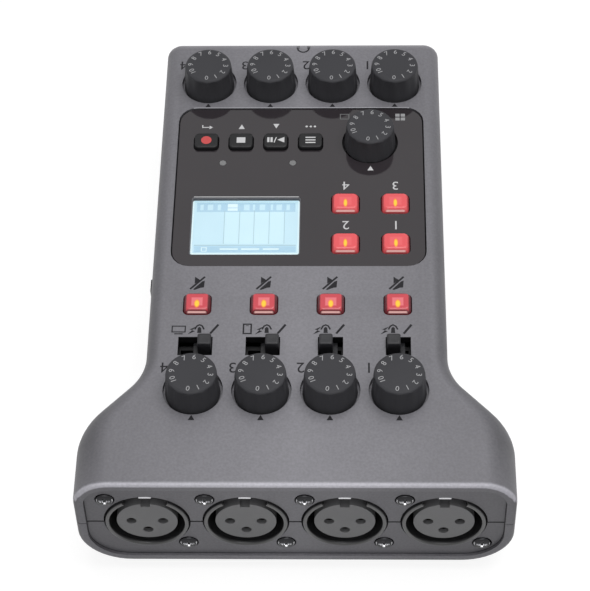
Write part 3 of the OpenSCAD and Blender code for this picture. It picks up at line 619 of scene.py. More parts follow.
# Each finish: colour or the name of a colour in RecorderFinish, drift, roughness, grain, and what else it has
FINISHES = {
    # The case paint's tint paints shade toward the sides, and the highlights and shade of the shell's light map
    "case paint": ("case_paint", 0.80, (0.42, 0.52), 1500.0,
                   {"bump": 0.10, "metal": 0.12, "fleck": 0.7, "specular": 0.4, "tint": pearl}),
    # Painted shade for the crease around the socket face
    "shaded paint": ((0.035, 0.034, 0.037), 0.85, (0.5, 0.6), 1700.0, {"specular": 0.2}),
    "panel gloss": ("panel_black", 0.9, (0.06, 0.10), 900.0, {"fleck": 0.1}),
    "display surround": ((0.13, 0.127, 0.138), 0.85, (0.35, 0.45), 3800.0, {"specular": 0.3}),
    "lens grey": ((0.20, 0.20, 0.205), 0.85, (0.25, 0.35), 3000.0, {}),
    "knob black": ("knob_black", 0.85, (0.44, 0.56), 5200.0, {"bump": 0.12, "specular": 0.12}),
    # Painted highlight on the chamfer around each knob's top
    "knob rim": ((0.13, 0.13, 0.135), 0.6, (0.3, 0.4), 2600.0, {"fleck": 0.9}),
    "key black": ("key_black", 0.85, (0.36, 0.48), 5200.0, {"bump": 0.10, "specular": 0.28}),
    "tab black": ((0.018, 0.018, 0.021), 0.85, (0.4, 0.5), 5200.0, {"bump": 0.10, "specular": 0.35}),
    # Black of inner parts, also used as painted shade on the ledge under the control panel
    "inner black": ((0.009, 0.009, 0.010), 0.85, (0.6, 0.7), 3800.0, {"specular": 0.1}),
    "socket black": ("socket_black", 0.85, (0.38, 0.5), 3800.0, {"bump": 0.08}),
    # Black lip with a painted highlight from its glint map
    "socket lip": ((0.012, 0.012, 0.013), 0.85, (0.30, 0.40), 3800.0,
                   {"bump": 0.05, "tint": glinting((0.11, 0.11, 0.112))}),
    "core grey": ("core_grey", 0.9, (0.42, 0.55), 3800.0, {"bump": 0.08}),
    # Contacts darkened nearly to black, as painted shade inside the pin holes
    "contact bronze": ((0.016, 0.014, 0.011), 0.85, (0.5, 0.6), 2400.0, {"metal": 1.0}),
    "spring steel": ((0.60, 0.60, 0.62), 0.88, (0.22, 0.34), 2400.0, {"bump": 0.05, "metal": 1.0}),
    # Dark chrome with painted glints from the screws' glint maps
    "dark chrome": ((0.030, 0.030, 0.032), 0.85, (0.14, 0.22), 1500.0,
                    {"metal": 1.0, "tint": glinting((0.70, 0.70, 0.72))}),
    "foot rubber": ((0.028, 0.028, 0.030), 0.8, (0.7, 0.85), 2400.0, {"bump": 0.25}),
    "dark ink": ("dark_ink", 0.85, (0.55, 0.7), 3000.0, {"specular": 0.2}),
    # Pale print, also used as the painted highlight along the display opening's far edge
    "pale ink": ("pale_ink", 0.9, (0.45, 0.6), 3000.0, {}),
    "soft ink": ((0.33, 0.33, 0.34), 0.9, (0.45, 0.6), 3000.0, {}),
    "dim ink": ((0.13, 0.13, 0.135), 0.9, (0.45, 0.6), 3000.0, {}),
    "dial ink": ("dial_ink", 0.9, (0.45, 0.6), 3000.0, {}),
    "red ink": ((0.56, 0.062, 0.062), 0.85, (0.4, 0.55), 3000.0, {}),
    # Painted highlight along the far edge of the panel's seat
    "edge shine": ((0.42, 0.42, 0.45), 0.85, (0.35, 0.45), 1500.0, {}),
    "board green": ((0.006, 0.022, 0.012), 0.75, (0.4, 0.5), 900.0, {"bump": 0.05, "fleck": 0.35, "specular": 0.25}),
    "pot zinc": ((0.36, 0.37, 0.38), 0.85, (0.32, 0.45), 2200.0, {"bump": 0.06, "metal": 1.0}),
    "moulded black": ((0.010, 0.010, 0.011), 0.85, (0.4, 0.52), 3800.0, {"bump": 0.08, "specular": 0.25}),
    "port steel": ((0.55, 0.55, 0.57), 0.88, (0.22, 0.34), 2400.0, {"bump": 0.05, "metal": 1.0}),
    "cell sleeve": ((0.10, 0.13, 0.17), 0.85, (0.22, 0.32), 1600.0, {"metal": 0.2}),
    "lamp resin": ((0.80, 0.55, 0.18), 0.85, (0.2, 0.3), 1600.0, {}),
    "display bezel": ((0.020, 0.021, 0.024), 0.85, (0.3, 0.42), 2600.0, {"bump": 0.05}),
}


def coat(name):
    """Finish from the table, made when it is first asked for"""
    *plain, more = FINISHES[name]
    return bpy.data.materials.get(name) or surface(name, *plain, **more)


@made_once("materials", "clear window")
def clear_window(name):
    """Clear plastic over the display"""
    material, tree, shader = start_finish(name)
    sheen = add_group(tree, sheen_group(), {"Smoothest": 0.0, "Roughest": 0.03, "Scale": 40.0})
    feed(tree, shader, {"Roughness": sheen, "Base Color": WHITE, "Transmission Weight": 1.0, "IOR": 1.3})
    return material


def lit_field(name, rgb, darker):
    """Glowing field of the display, with the faint unevenness of its back light"""
    found = bpy.data.materials.get(name)
    if found:
        return found
    material, tree, shader = start_finish(name)
    tones = {"Tone": shade(rgb, 1.0), "Darker tone": shade(rgb, darker)}
    tone = add_group(tree, tone_group(), {**tones, "Drift scale": 55.0, "Fleck": 0.05})
    feed(tree, shader, {"Emission Color": tone, "Emission Strength": 0.97})
    feed(tree, shader, {"Base Color": (0.02, 0.02, 0.02, 1.0), "Roughness": 0.5})
    return material


def lit_cap(name, stops, flame):
    """Translucent cap over a yellow lamp; the cap's own map runs from -1 to 1 across it, the stops give
    its tone from the middle to the rim, and flame is the lamp's half size"""
    found = bpy.data.materials.get(name)
    if found:
        return found
    look = finish()
    material, tree, shader = start_finish(name)
    own = add_node(tree, "ShaderNodeUVMap", uv_map="cap").outputs["UV"]
    parts = add_node(tree, "ShaderNodeSeparateXYZ", {"Vector": own}).outputs
    v, across = parts["Y"], calculated(tree, "ABSOLUTE", parts["X"])
    along = calculated(tree, "ABSOLUTE", calculated(tree, "ADD", v, 0.04))
    field = ramp(tree, calculated(tree, "MAXIMUM", across, along), stops)
    # Painted highlight: the pale band along the cap's near edge, where its rounded edge catches the front light
    near = calculated(tree, "MULTIPLY", smooth(tree, v, -0.88, -0.92), smooth(tree, v, -0.995, -0.97))
    near = calculated(tree, "MULTIPLY", near, smooth(tree, across, 0.78, 0.60))
    pale = mixed(tree, "RGBA", near, field, (*look.cap_pale, 1.0))
    # The lamp, an upright flame a little nearer than the middle
    place = {"Location": (0.0, 0.25 / flame[1], 0.0), "Scale": (1 / flame[0], 1 / flame[1], 1.0), "Vector": own}
    lamp = add_node(tree, "ShaderNodeMapping", place).outputs["Vector"]
    away = add_node(tree, "ShaderNodeVectorMath", {0: lamp}, operation="LENGTH").outputs["Value"]
    yellow = tuple(look.lamp_yellow)
    core = ramp(tree, away, [(0.0, yellow), (0.45, yellow), (0.75, (0.66, 0.20, 0.02)), (1.0, (0.58, 0.10, 0.05))])
    glow = mixed(tree, "RGBA", smooth(tree, away, 1.0, 0.55), pale, core)
    sheen = add_group(tree, sheen_group(), {"Smoothest": 0.14, "Roughest": 0.24, "Scale": 90.0})
    feed(tree, shader, {"Base Color": glow, "Emission Color": glow, "Emission Strength": 0.5, "Roughness": sheen})
    return material


# Marks: flat outlines in millimetres, printed as thin solids


def stroke(points, width, closed=False):
    """Band of even width along a line of points"""
    n = len(points)
    left, right = [], []
    for i in range(n):
        before = points[i - 1] if i or closed else None
        after = points[(i + 1) % n] if i < n - 1 or closed else None
        here = Vector(points[i])
        a = (here - Vector(before)).normalized() if before else None
        b = (Vector(after) - here).normalized() if after else None
        a, b = a or b, b or a
        normal = Vector((-(a + b).y, (a + b).x)).normalized()
        half = width / 2 / max(0.4, normal.dot(Vector((-a.y, a.x))))
        left.append(tuple(here + normal * half))
        right.append(tuple(here - normal * half))
    span = range(n if closed else n - 1)
    faces = [(i, (i + 1) % n, n + (i + 1) % n, n + i) for i in span]
    return left + right, faces


def outline(points):
    return list(points), [tuple(range(len(points)))]


def ring_points(r, start, end, steps, at=(0.0, 0.0)):
    return [
        (
            at[0] + r * math.cos(math.radians(start + (end - start) * i / steps)),
            at[1] + r * math.sin(math.radians(start + (end - start) * i / steps)),
        )
        for i in range(steps + 1)
    ]


def disc(r, at=(0.0, 0.0), steps=28):
    return outline(ring_points(r, 0, 360 * (steps - 1) / steps, steps - 1, at))


def bar(w, d, at=(0.0, 0.0)):
    x, y = at
    return outline([(x - w / 2, y - d / 2), (x + w / 2, y - d / 2), (x + w / 2, y + d / 2), (x - w / 2, y + d / 2)])


def pointer(x, y, half, tall):
    """Triangle that points to the far end"""
    return outline([(x - half, y), (x + half, y), (x, y + tall)])


GLYPHS = {}


def glyph(text, height):
    """Filled outline of plain digits, centred, at a height in millimetres"""
    if text not in GLYPHS:
        curve = bpy.data.curves.new("digits", "FONT")
        curve.body = text
        curve.resolution_u = 4
        holder = new_object("digits", curve)
        bpy.context.view_layer.update()
        mesh = bpy.data.meshes.new_from_object(holder.evaluated_get(bpy.context.evaluated_depsgraph_get()))
        points = [(v.co.x, v.co.y) for v in mesh.vertices]
        faces = [tuple(p.vertices) for p in mesh.polygons]
        low = [min(p[k] for p in points) for k in (0, 1)]
        high = [max(p[k] for p in points) for k in (0, 1)]
        span = high[1] - low[1]
        middle = [(low[k] + high[k]) / 2 for k in (0, 1)]
        GLYPHS[text] = [((p[0] - middle[0]) / span, (p[1] - middle[1]) / span) for p in points], faces
        bpy.data.objects.remove(holder)
        bpy.data.curves.remove(curve)
        bpy.data.meshes.remove(mesh)
    points, faces = GLYPHS[text]
    return [(x * height, y * height) for x, y in points], faces


def laid(shape, at, turn=0.0):
    """A flat shape turned about its middle and moved to its place"""
    c, s = math.cos(math.radians(turn)), math.sin(math.radians(turn))
    points, faces = shape
    return [(at[0] + c * x - s * y, at[1] + s * x + c * y) for x, y in points], faces


def printed(name, shapes, z, materials):
    """Thin solid of flat shapes on a surface; each shape may carry its own finish number and height"""
    work = bmesh.new()
    thick = sizes().ink
    for shape in shapes:
        points, faces = shape[0], shape[1]
        slot = shape[2] if len(shape) > 2 else 0
        level = shape[3] if len(shape) > 3 else z
        heights = level if callable(level) else lambda x, y, value=level: value
        verts = [work.verts.new((x * MM, y * MM, heights(x, y) * MM - thick / 2)) for x, y in points]
        made = []
        for face in faces:
            try:
                made.append(work.faces.new([verts[i] for i in face]))
            except ValueError as error:
                raise RuntimeError(f"{name}: a face of a mark is given twice") from error
        for face in made:
            face.material_index = slot
            face.normal_update()
            if face.normal.z < 0:
                face.normal_flip()
        raised = bmesh.ops.extrude_face_region(work, geom=made)
        moved = [g for g in raised["geom"] if isinstance(g, bmesh.types.BMVert)]
        bmesh.ops.translate(work, verts=moved, vec=(0.0, 0.0, thick))
        for face in made:
            if face.is_valid:
                face.normal_flip()
    bmesh.ops.recalc_face_normals(work, faces=work.faces)
    mesh = bpy.data.meshes.new(name)
    work.to_mesh(mesh)
    work.free()
    for material in materials:
        mesh.materials.append(material)
    return new_object(name, mesh)


def rise(value, start, end):
    """Share that rises smoothly from 0 to 1 between two values"""
    t = min(1.0, max(0.0, (value - start) / (end - start)))
    return t * t * (3 - 2 * t)


def drawn_in(r, t):
    """How far a rounded edge of radius r is drawn in at distance t from its end"""
    return 0.0 if t >= r else r - math.sqrt(r * r - (r - t) ** 2)


def half_width(y):
    """Half width of the case at a place along it, as its solid has it"""
    long, c, s = 27.5, math.cos(math.radians(47.0)), math.sin(math.radians(47.0))
    u, dx, n = NEAR_Y + 14.0 + long - y, (WIDE_W - NARROW_W) / 2, NARROW_W / 2
    r = (long * s - dx * c) / (1 - c) / 2
    if u <= 0:
        return n
    if u < r * s:
        return n + r - math.sqrt(r * r - u * u)
    if u < long - r * s:
        return n + r * (1 - c) + (u - r * s) * s / c
    if u < long:
        return n + dx - r + math.sqrt(r * r - (long - u) ** 2)
    return n + dx


def end_drop(y):
    """How far the top falls away near the rounded far end"""
    return drawn_in(6.0, FAR_Y - y)


# Operators


class RECORDER_OT_case(Operator):
    """Make the painted halves of the case, with broken edges at their openings"""

    bl_idname = "recorder.case"
    bl_label = "Case"

    def execute(self, context):
        for node in ("top_shell", "bottom_shell"):
            skin = dress(node, f"{node}_skin", "case paint", sizes().case_edge, "case", "shell").data
            skin.materials.append(coat("inner black"))
            self.shade_openings(skin)
            # Painted highlights on the rolled edges, and painted shade on the socket face and the sides
            self.map_light(skin)
        settle(self.seam(), "case", "shell")
        settle(self.face_line(), "case", "shell")
        dress("battery_door", "battery_door_skin", "case paint", 0.00025, "door", "door")
        return {"FINISHED"}

    def shade_openings(self, mesh):
        """Blacken what lies in the slide switches' slots and under the control panel"""
        low, high = box_mm("control_panel")
        slot_w, slot_d, past = 4.7, 3.2, 0.3
        for face in mesh.polygons:
            at = face.center / MM
            if at.z > TOP_Z - 0.15:
                continue
            slot = abs(at.y - MIC_Y) < slot_d and any(abs(at.x - x) < slot_w for x in COLUMNS)
            under = low.x - past < at.x < high.x + past and low.y - past < at.y < high.y + past
            if slot or (under and face.normal.z > 0.8):
                face.material_index = 1

    def map_light(self, mesh):
        """Map where the paint shows lighter, on the rolled edges, or darker, on the socket face and the sides"""
        light = mesh.attributes.new("light", "FLOAT", "CORNER")
        face_shade, foot_shade, near_highlight, far_highlight, side_shade = -0.10, 0.14, 1.7, 0.3, -0.24
        near, far, above = NEAR_Y + 4.0, FAR_Y - 8.0, SOCKET_Z + 4.0
        for face in mesh.polygons:
            facing = face.normal.y < -0.95 and abs(face.center.y / MM - FACE_Y) < 0.3
            for corner in face.loop_indices:
                vertex = mesh.vertices[mesh.loops[corner].vertex_index]
                at, n = vertex.co / MM, vertex.normal
                if facing:
                    level = face_shade - foot_shade * (TOP_Z - at.z) / TOP_Z
                elif at.y < near and n.z > 0.1 and at.z > above:
                    level = near_highlight * rise(-n.y, 0.15, 0.6)
                elif at.y > far and n.z > 0.1:
                    level = far_highlight * rise(n.y, 0.1, 0.8)
                else:
                    level = side_shade * rise(abs(n.x), 0.05, 0.6)
                light.data[corner].value = level

    def seam(self):
        """Dark tongue in the joint of the two shells, nearly flush along the sides and between the sockets"""
        steps, start, end = 120, NEAR_Y + 1.6, FAR_Y - 0.6
        low, high, deep, shy, proud = SOCKET_Z - 0.36, SOCKET_Z + 0.11, 1.1, 0.03, 0.02
        between = ((-52.8, -48.2), (-26.8, -23.2), (-1.8, 1.8), (23.2, 26.8), (48.2, 52.8))
        tongue = Blank()
        for side in (1, -1):
            rings = []
            for k in range(steps + 1):
                y = start + (end - start) * k / steps
                x = side * (half_width(y) - drawn_in(5.0, FAR_Y - y))
                outer, inner = x - side * shy, x - side * deep
                section = [(outer, low), (outer, high), (inner, high), (inner, low)]
                rings.append([(px, y, pz) for px, pz in (section if side > 0 else section[::-1])])
            tongue.stack(rings)
        front, back = FACE_Y - proud, FACE_Y + deep
        for left, right in between:
            corners = [(left, front), (right, front), (right, back), (left, back)]
            tongue.stack([[(x, y, z) for x, y in corners] for z in (low, high)])
        return blank_object("case_tongue", tongue, [coat("inner black")])

    def face_line(self):
        """Dark line in the corner between the rim and the socket face, at the sides and below"""
        half, low, high, r = 52.85, 6.85, 32.0, 10.4
        path = [(half, high)]
        path += ring_points(r, 0, -90, 12, (half - r, low + r))
        path += ring_points(r, -90, -180, 12, (r - half, low + r))
        path.append((-half, high))
        line = printed("face_line", [stroke(path, 0.32)], 0.0, [coat("shaded paint")])
        upright = Matrix.Rotation(math.pi / 2, 4, "X")
        line.data.transform(Matrix.Translation((0.0, (FACE_Y - 0.01) * MM, 0.0)) @ upright)
        return line


class RECORDER_OT_control_panel(Operator):
    """Make the gloss panel, the clear window, and the display's picture under it"""

    bl_idname = "recorder.control_panel"
    bl_label = "Control panel and display"

    def execute(self, context):
        self.draw_in(dress("control_panel", "panel_plate", "panel gloss", 0.00012, "case", "panel").data)
        low, high = box_mm("display_window")
        middle = ((low.x + high.x) / 2, (low.y + high.y) / 2)
        levels = ((0.1, low.z + 0.3), (0.0, low.z + 0.4), (0.0, high.z - 0.1), (0.1, high.z))
        window = Blank()
        window.tower(high.x - low.x, high.y - low.y, middle, [(inset, 0.8 - inset, z) for inset, z in levels])
        settle(blank_object("window", window, [clear_window()]), "case", "window", "display_window")
        self.surround()
        self.picture()
        self.lenses()
        return {"FINISHED"}

    def draw_in(self, mesh):
        """Widen the dark joint around the panel"""
        gap, rim = 0.12 * MM, 3.0 * MM
        low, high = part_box("control_panel")
        for vertex in mesh.vertices:
            for k in (0, 1):
                if vertex.co[k] > high[k] - rim:
                    vertex.co[k] -= gap
                if vertex.co[k] < low[k] + rim:
                    vertex.co[k] += gap
        mesh.update()

    def surround(self):
        """Lining of the display's opening, with a chamfer that catches the light"""
        low = LEDGE_Z + 0.02
        rings = [(0.0, low), (0.0, PANEL_Z - 0.08), (0.04, PANEL_Z - 0.02), (0.32, PANEL_Z - 0.26), (0.32, low)]
        rows = [(inset, DISPLAY_R - inset * 0.6, z) for inset, z in rings]
        lining = Blank()
        lining.tower(DISPLAY_W, DISPLAY_D, DISPLAY, rows, low=False, high=False)
        n = len(lining.points) // len(rows)
        last = len(lining.points) - n
        lining.faces += [(last + i, last + (i + 1) % n, (i + 1) % n, i) for i in range(n)]
        lining.slots += [0] * n
        settle(blank_object("display_lining", lining, [coat("display surround")], 25.0), "case", "panel")

    def lenses(self):
        """Two small lamps' lenses between the transport keys"""
        foot = reach("indicator_lenses", 2)[0]
        rows = ((0.95, foot), (0.95, PANEL_Z - 0.1), (0.9, PANEL_Z - 0.03), (0.7, PANEL_Z), (0.35, PANEL_Z))
        lenses = Blank()
        for x in ((KEY_X[0] + KEY_X[1]) / 2, (KEY_X[2] + KEY_X[3]) / 2):
            lenses.stack([circle(r, z, 32, (x, KEY_Y - 7.4)) for r, z in rows])
        settle(blank_object("lenses", lenses, [coat("lens grey")]), "case", "lens", "indicator_lenses")

    def picture(self):
        """Lit fields, bands and lines; what shows through the opening from the front lies a little beyond it"""
        look = finish()
        left, right, near, far = -29.8, 0.7, -2.3, 17.1
        w, d = right - left, far - near
        fields = [
            lit_field(f"display {name}", rgb, darker)
            for name, rgb, darker in (
                ("field", look.display_lit, 0.95), ("band", look.display_band, 0.95),
                ("border", look.display_edge, 0.97), ("tracks", look.display_tracks, 0.97),
                ("lines", look.display_line, 0.95),
            )
        ]
        field, band, border, tracks, lines = range(len(fields))

        def block(x_low, x_high, y_low, y_high, slot, level):
            """Block given in shares of the picture, from its left and its far side"""
            x0, x1 = left + w * x_low, left + w * x_high
            y0, y1 = far - d * y_high, far - d * y_low
            return (*bar(x1 - x0, y1 - y0, ((x0 + x1) / 2, (y0 + y1) / 2)), slot, ROOF_Z + level)

        rows = [
            (-0.02, 1.02, -0.04, 1.06, border, 0.04), (0.035, 0.965, 0.0, 0.965, field, 0.07),
            (0.31, 0.845, 0.22, 0.80, tracks, 0.085), (0.06, 0.94, 0.055, 0.22, band, 0.10),
            (0.05, 0.95, 0.82, 0.835, lines, 0.10), (0.05, 0.95, 0.845, 0.955, band, 0.10),
        ]
        rows += [(x - 0.003, x + 0.003, 0.20, 0.80, lines, 0.11) for x in (0.31, 0.445, 0.575, 0.71, 0.845)]
        upper = ((0.09, 0.03), (0.155, 0.05), (0.245, 0.03), (0.48, 0.05), (0.56, 0.02), (0.62, 0.05), (0.72, 0.02),
                 (0.77, 0.05), (0.86, 0.03))
        rows += [(x, x + wide, 0.085, 0.19, field, 0.13) for x, wide in upper]
        rows += [(0.335, 0.425, 0.075, 0.14, border, 0.14), (0.335, 0.425, 0.155, 0.20, border, 0.14)]
        rows += [(x, x + wide, 0.885, 0.91, border, 0.13) for x, wide in ((0.28, 0.16), (0.47, 0.16), (0.66, 0.14))]
        frame_sides = ((0.115, 0.165, 0.865, 0.875), (0.115, 0.165, 0.93, 0.94), (0.115, 0.122, 0.865, 0.94),
                       (0.158, 0.165, 0.865, 0.94))
        rows += [(*side, border, 0.13) for side in frame_sides]
        picture = printed("display_picture", [block(*row) for row in rows], ROOF_Z, fields)
        settle(picture, "case", "display")


class RECORDER_OT_knobs(Operator):
    """Make the nine fluted knobs and the ring of digits on each"""

    bl_idname = "recorder.knobs"
    bl_label = "Knobs"

    def execute(self, context):
        knobs = [(f"level_{i + 1}", f"level_knob_{i + 1}", (x, LEVEL_Y)) for i, x in enumerate(COLUMNS)]
        knobs += [(f"phones_{i + 1}", f"phones_knob_{i + 1}", (x, PHONES_Y)) for i, x in enumerate(COLUMNS)]
        knobs.append(("pad_level", "pad_knob", PAD_KNOB))
        phones_turn, other_turn = -3.0, -7.0
        for body, node, at in knobs:
            top = (PAD_KNOB_TOP_Z if at == PAD_KNOB else KNOB_TOP_Z) - 0.04
            sector = self.sector(top)
            carrier = bpy.data.meshes.new(node)
            values = {"Sector": sector, "Count": sizes().knob_ribs, "Material": coat("knob black")}
            knob = grow(f"{node}_fluted", ring_tree(), carrier, values)
            discard(sector)
            knob.data.transform(Matrix.Translation((at[0] * MM, at[1] * MM, 0.0)))
            tidy_mesh(knob.data, 50.0, SECTOR_JOIN)
            self.brighten_rim(knob.data, at, top)
            settle(knob, body, "knob", node)
            turned = phones_turn if at[1] == PHONES_Y else other_turn
            settle(self.digits(f"{node}_digits", at, turned, top), body, "knob")
        return {"FINISHED"}

    def brighten_rim(self, mesh, at, top):
        """Give the narrow chamfer around a knob's top its own smoother finish"""
        mesh.materials.append(coat("knob rim"))
        inner, outer, low = 6.14, 6.42, top - 0.40
        for face in mesh.polygons:
            r = math.hypot(face.center.x / MM - at[0], face.center.y / MM - at[1])
            if inner < r < outer and face.center.z / MM > low:
                face.material_index = 1

    def sector(self, top):
        """One flute's share of a knob around the upright axis, from rows of radius, height and flute depth"""
        use = sizes()
        profile = [
            (0.0, KNOB_Z + 6.6, 0), (3.05, KNOB_Z + 6.6, 0), (3.05, KNOB_Z, 0), (6.85, KNOB_Z, 0),
            (7.03, KNOB_Z + 0.08, 0), (7.08, KNOB_Z + 0.25, 0.2), (7.06, KNOB_Z + 0.6, 0.8), (7.02, KNOB_Z + 1.0, 1.0),
            (6.82, (KNOB_Z + top) / 2, 1.0), (6.60, top - 1.2, 1.0), (6.58, top - 0.85, 0.7), (6.54, top - 0.6, 0.3),
            (6.48, top - 0.46, 0.1), (6.38, top - 0.34, 0), (6.18, top - 0.13, 0), (6.08, top - 0.10, 0),
            (5.96, top - 0.10, 0), (5.88, top - 0.02, 0), (5.7, top, 0), (3.0, top, 0), (0.0, top, 0),
        ]
        wide = 2 * math.pi / use.knob_ribs
        columns = 10
        points, faces = [], []
        for r, z, share in profile:
            for k in range(columns + 1):
                a = wide * k / columns
                away = (a - wide / 2) * r / in_mm(use.flute_width)
                out = r - share * in_mm(use.flute_depth) * math.exp(-away * away)
                points.append((out * math.cos(a), out * math.sin(a), z))
        row = columns + 1
        for j in range(len(profile) - 1):
            for k in range(columns):
                a = j * row + k
                faces.append((a, a + 1, a + row + 1, a + row))
        mesh = bpy.data.meshes.new("sector")
        mesh.from_pydata(in_metres(points), [], faces)
        return new_object("sector", mesh)

    def digits(self, name, at, turned, top):
        """Ring of the numbers 0 to 10, read from outside"""
        use = sizes()
        r, step = in_mm(use.digit_ring), 30
        shapes = []
        for k in range(11):
            a = math.radians(-90 + turned + step * k)
            place = (at[0] + r * math.cos(a), at[1] + r * math.sin(a))
            shapes.append(laid(glyph(str(k), in_mm(use.digit_height)), place, turned - 180 + step * k))
        return printed(name, shapes, top, [coat("dial ink")])


class RECORDER_OT_lit_keys(Operator):
    """Make the eight lit caps: the mute keys and the sound pads"""

    bl_idname = "recorder.lit_keys"
    bl_label = "Mute keys and sound pads"

    def execute(self, context):
        look = finish()
        caps = []
        for name, red, gain, lift, dark, places, flame in (
            ("mute cap", tuple(look.mute_red), 1.15, 0.075, 0.2, (0.38, 0.45, 0.74, 0.85), (0.26, 0.52)),
            ("pad cap", tuple(look.pad_red), 1.03, 0.02, 0.55, (0.40, 0.5, 0.82, 0.95), (0.19, 0.58)),
        ):
            inner, rim = tuple(c * gain + lift for c in red), tuple(c * dark for c in red)
            tones = (inner, inner, red, red, rim, rim)
            caps.append(lit_cap(name, list(zip((0.0, *places, 1.0), tones)), flame))
        mute, pad = caps
        for i, x in enumerate(COLUMNS):
            self.cap(f"mute_key_{i + 1}", f"mute_{i + 1}", (x, MUTE_Y), MUTE_SIZE, TOP_Z, mute)
        for i, at in enumerate(PADS):
            self.cap(f"sound_pad_{i + 1}", f"pad_{i + 1}", at, PAD_SIZE, PANEL_Z, pad)
        return {"FINISHED"}

    def cap(self, node, body, at, size, face_z, finish_of_cap):
        """Drafted cap on its flange and stem, with the map that its finish reads"""
        (w, d), top, flange = size, face_z + 1.5, 1.8
        draft = in_mm(sizes().cap_draft)
        cap = Blank()
        cap.tower(w, d, at, [
            (0.0, 1.2, FLANGE_HIGH), (0.0, 1.2, face_z + 0.1), (0.03, 1.2, face_z + 0.3),
            (draft * 0.75, 1.15, top - 0.45), (draft, 1.1, top - 0.22), (draft + 0.14, 1.0, top - 0.08),
            (draft + 0.36, 0.85, top - 0.02), (draft + 0.62, 0.7, top - 0.01), (draft + 1.2, 0.5, top),
        ])
        cap.tower(w + flange, d + flange, at, [(0.0, 1.2, FLANGE_LOW), (0.0, 1.2, FLANGE_HIGH)], 1)
        cap.stem(at, reach(node, 2)[0], FLANGE_LOW, 1)
        piece = blank_object(f"{node}_cap", cap, [finish_of_cap, coat("inner black")], 55.0)
        uv = piece.data.uv_layers.new(name="cap")
        for loop in piece.data.loops:
            place = piece.data.vertices[loop.vertex_index].co / MM
            uv.data[loop.index].uv = (2 * (place.x - at[0]) / w, 2 * (place.y - at[1]) / d)
        settle(piece, body, "red_key", node)


class RECORDER_OT_transport_keys(Operator):
    """Make the four black keys and the plain marks on them"""

    bl_idname = "recorder.transport_keys"
    bl_label = "Transport keys"

    def execute(self, context):
        top = PANEL_Z + 1.2
        for body, x in zip(KEYS, KEY_X):
            at, node = (x, KEY_Y), f"{body}_key"
            key = Blank()
            key.tower(*KEY_SIZE, at, [
                (-0.9, 1.2, FLANGE_LOW), (-0.9, 1.2, FLANGE_HIGH), (0.0, 1.2, FLANGE_HIGH + 0.05),
                (0.0, 1.1, top - 0.45), (0.05, 1.05, top - 0.25), (0.16, 0.95, top - 0.1), (0.34, 0.8, top - 0.05),
                (0.9, 0.5, top - 0.05),
            ])
            key.stem(at, reach(node, 2)[0], FLANGE_LOW + 0.4)
            piece = blank_object(f"{node}_cap", key, [coat("key black")], 50.0)
            settle(piece, body, "black_key", node)
            shapes = [(*laid(shape, at), slot) for shape, slot in self.marks(body)]
            mark = printed(f"{node}_mark", shapes, top - 0.05, [coat("pale ink"), coat("red ink")])
            settle(mark, body, "black_key")
        return {"FINISHED"}

    def marks(self, body):
        """Shapes on a key, each with the number of its ink"""
        if body == "record":
            return [(disc(1.45), 1)]
        if body == "stop":
            return [(bar(2.4, 2.0), 0)]
        if body == "menu":
            return [(bar(2.8, 0.42, (0.0, y)), 0) for y in (-0.95, 0.0, 0.95)]
        return [
            (bar(0.62, 1.8, (-2.05, 0.1)), 0),
            (bar(0.62, 1.8, (-1.15, 0.1)), 0),
            (stroke([(-0.45, -0.95), (0.15, 1.05)], 0.28), 0),
            (outline([(0.45, 0.1), (2.4, -0.95), (2.4, 1.1)]), 0),
        ]


class RECORDER_OT_switches(Operator):
    """Make the tabs of the microphone switches and of the power switch"""

    bl_idname = "recorder.switches"
    bl_label = "Switch tabs"

    def execute(self, context):
        for i in CHANNELS:
            node = f"mic_switch_{i}"
            low, high = box_mm(node)
            x = (low.x + high.x) / 2
            tab = Blank()
            tab.tower(3.6, 3.6, (x, MIC_Y + 0.75), [
                (0.0, 0.3, FLANGE_LOW + 0.3), (0.0, 0.35, TOP_Z + 0.6), (0.05, 0.4, high.z - 0.35),
                (0.18, 0.4, high.z - 0.1), (0.42, 0.3, high.z), (0.8, 0.2, high.z - 0.06),
            ])
            plate = [(0.0, 0.4, FLANGE_LOW + 0.1), (0.0, 0.4, FLANGE_HIGH)]
            tab.tower(high.x - low.x, high.y - low.y, (x, MIC_Y), plate)
            tab.tower(2.6, 2.0, (x, MIC_Y), [(0.0, 0.2, low.z), (0.0, 0.2, FLANGE_LOW + 0.4)])
            piece = blank_object(f"{node}_tab", tab, [coat("tab black")], 45.0)
            settle(piece, f"mic_select_{i}", "switch", node)
        dress("power_slider", "power_slider_tab", "tab black", 0.0002, "power", "switch")
        return {"FINISHED"}


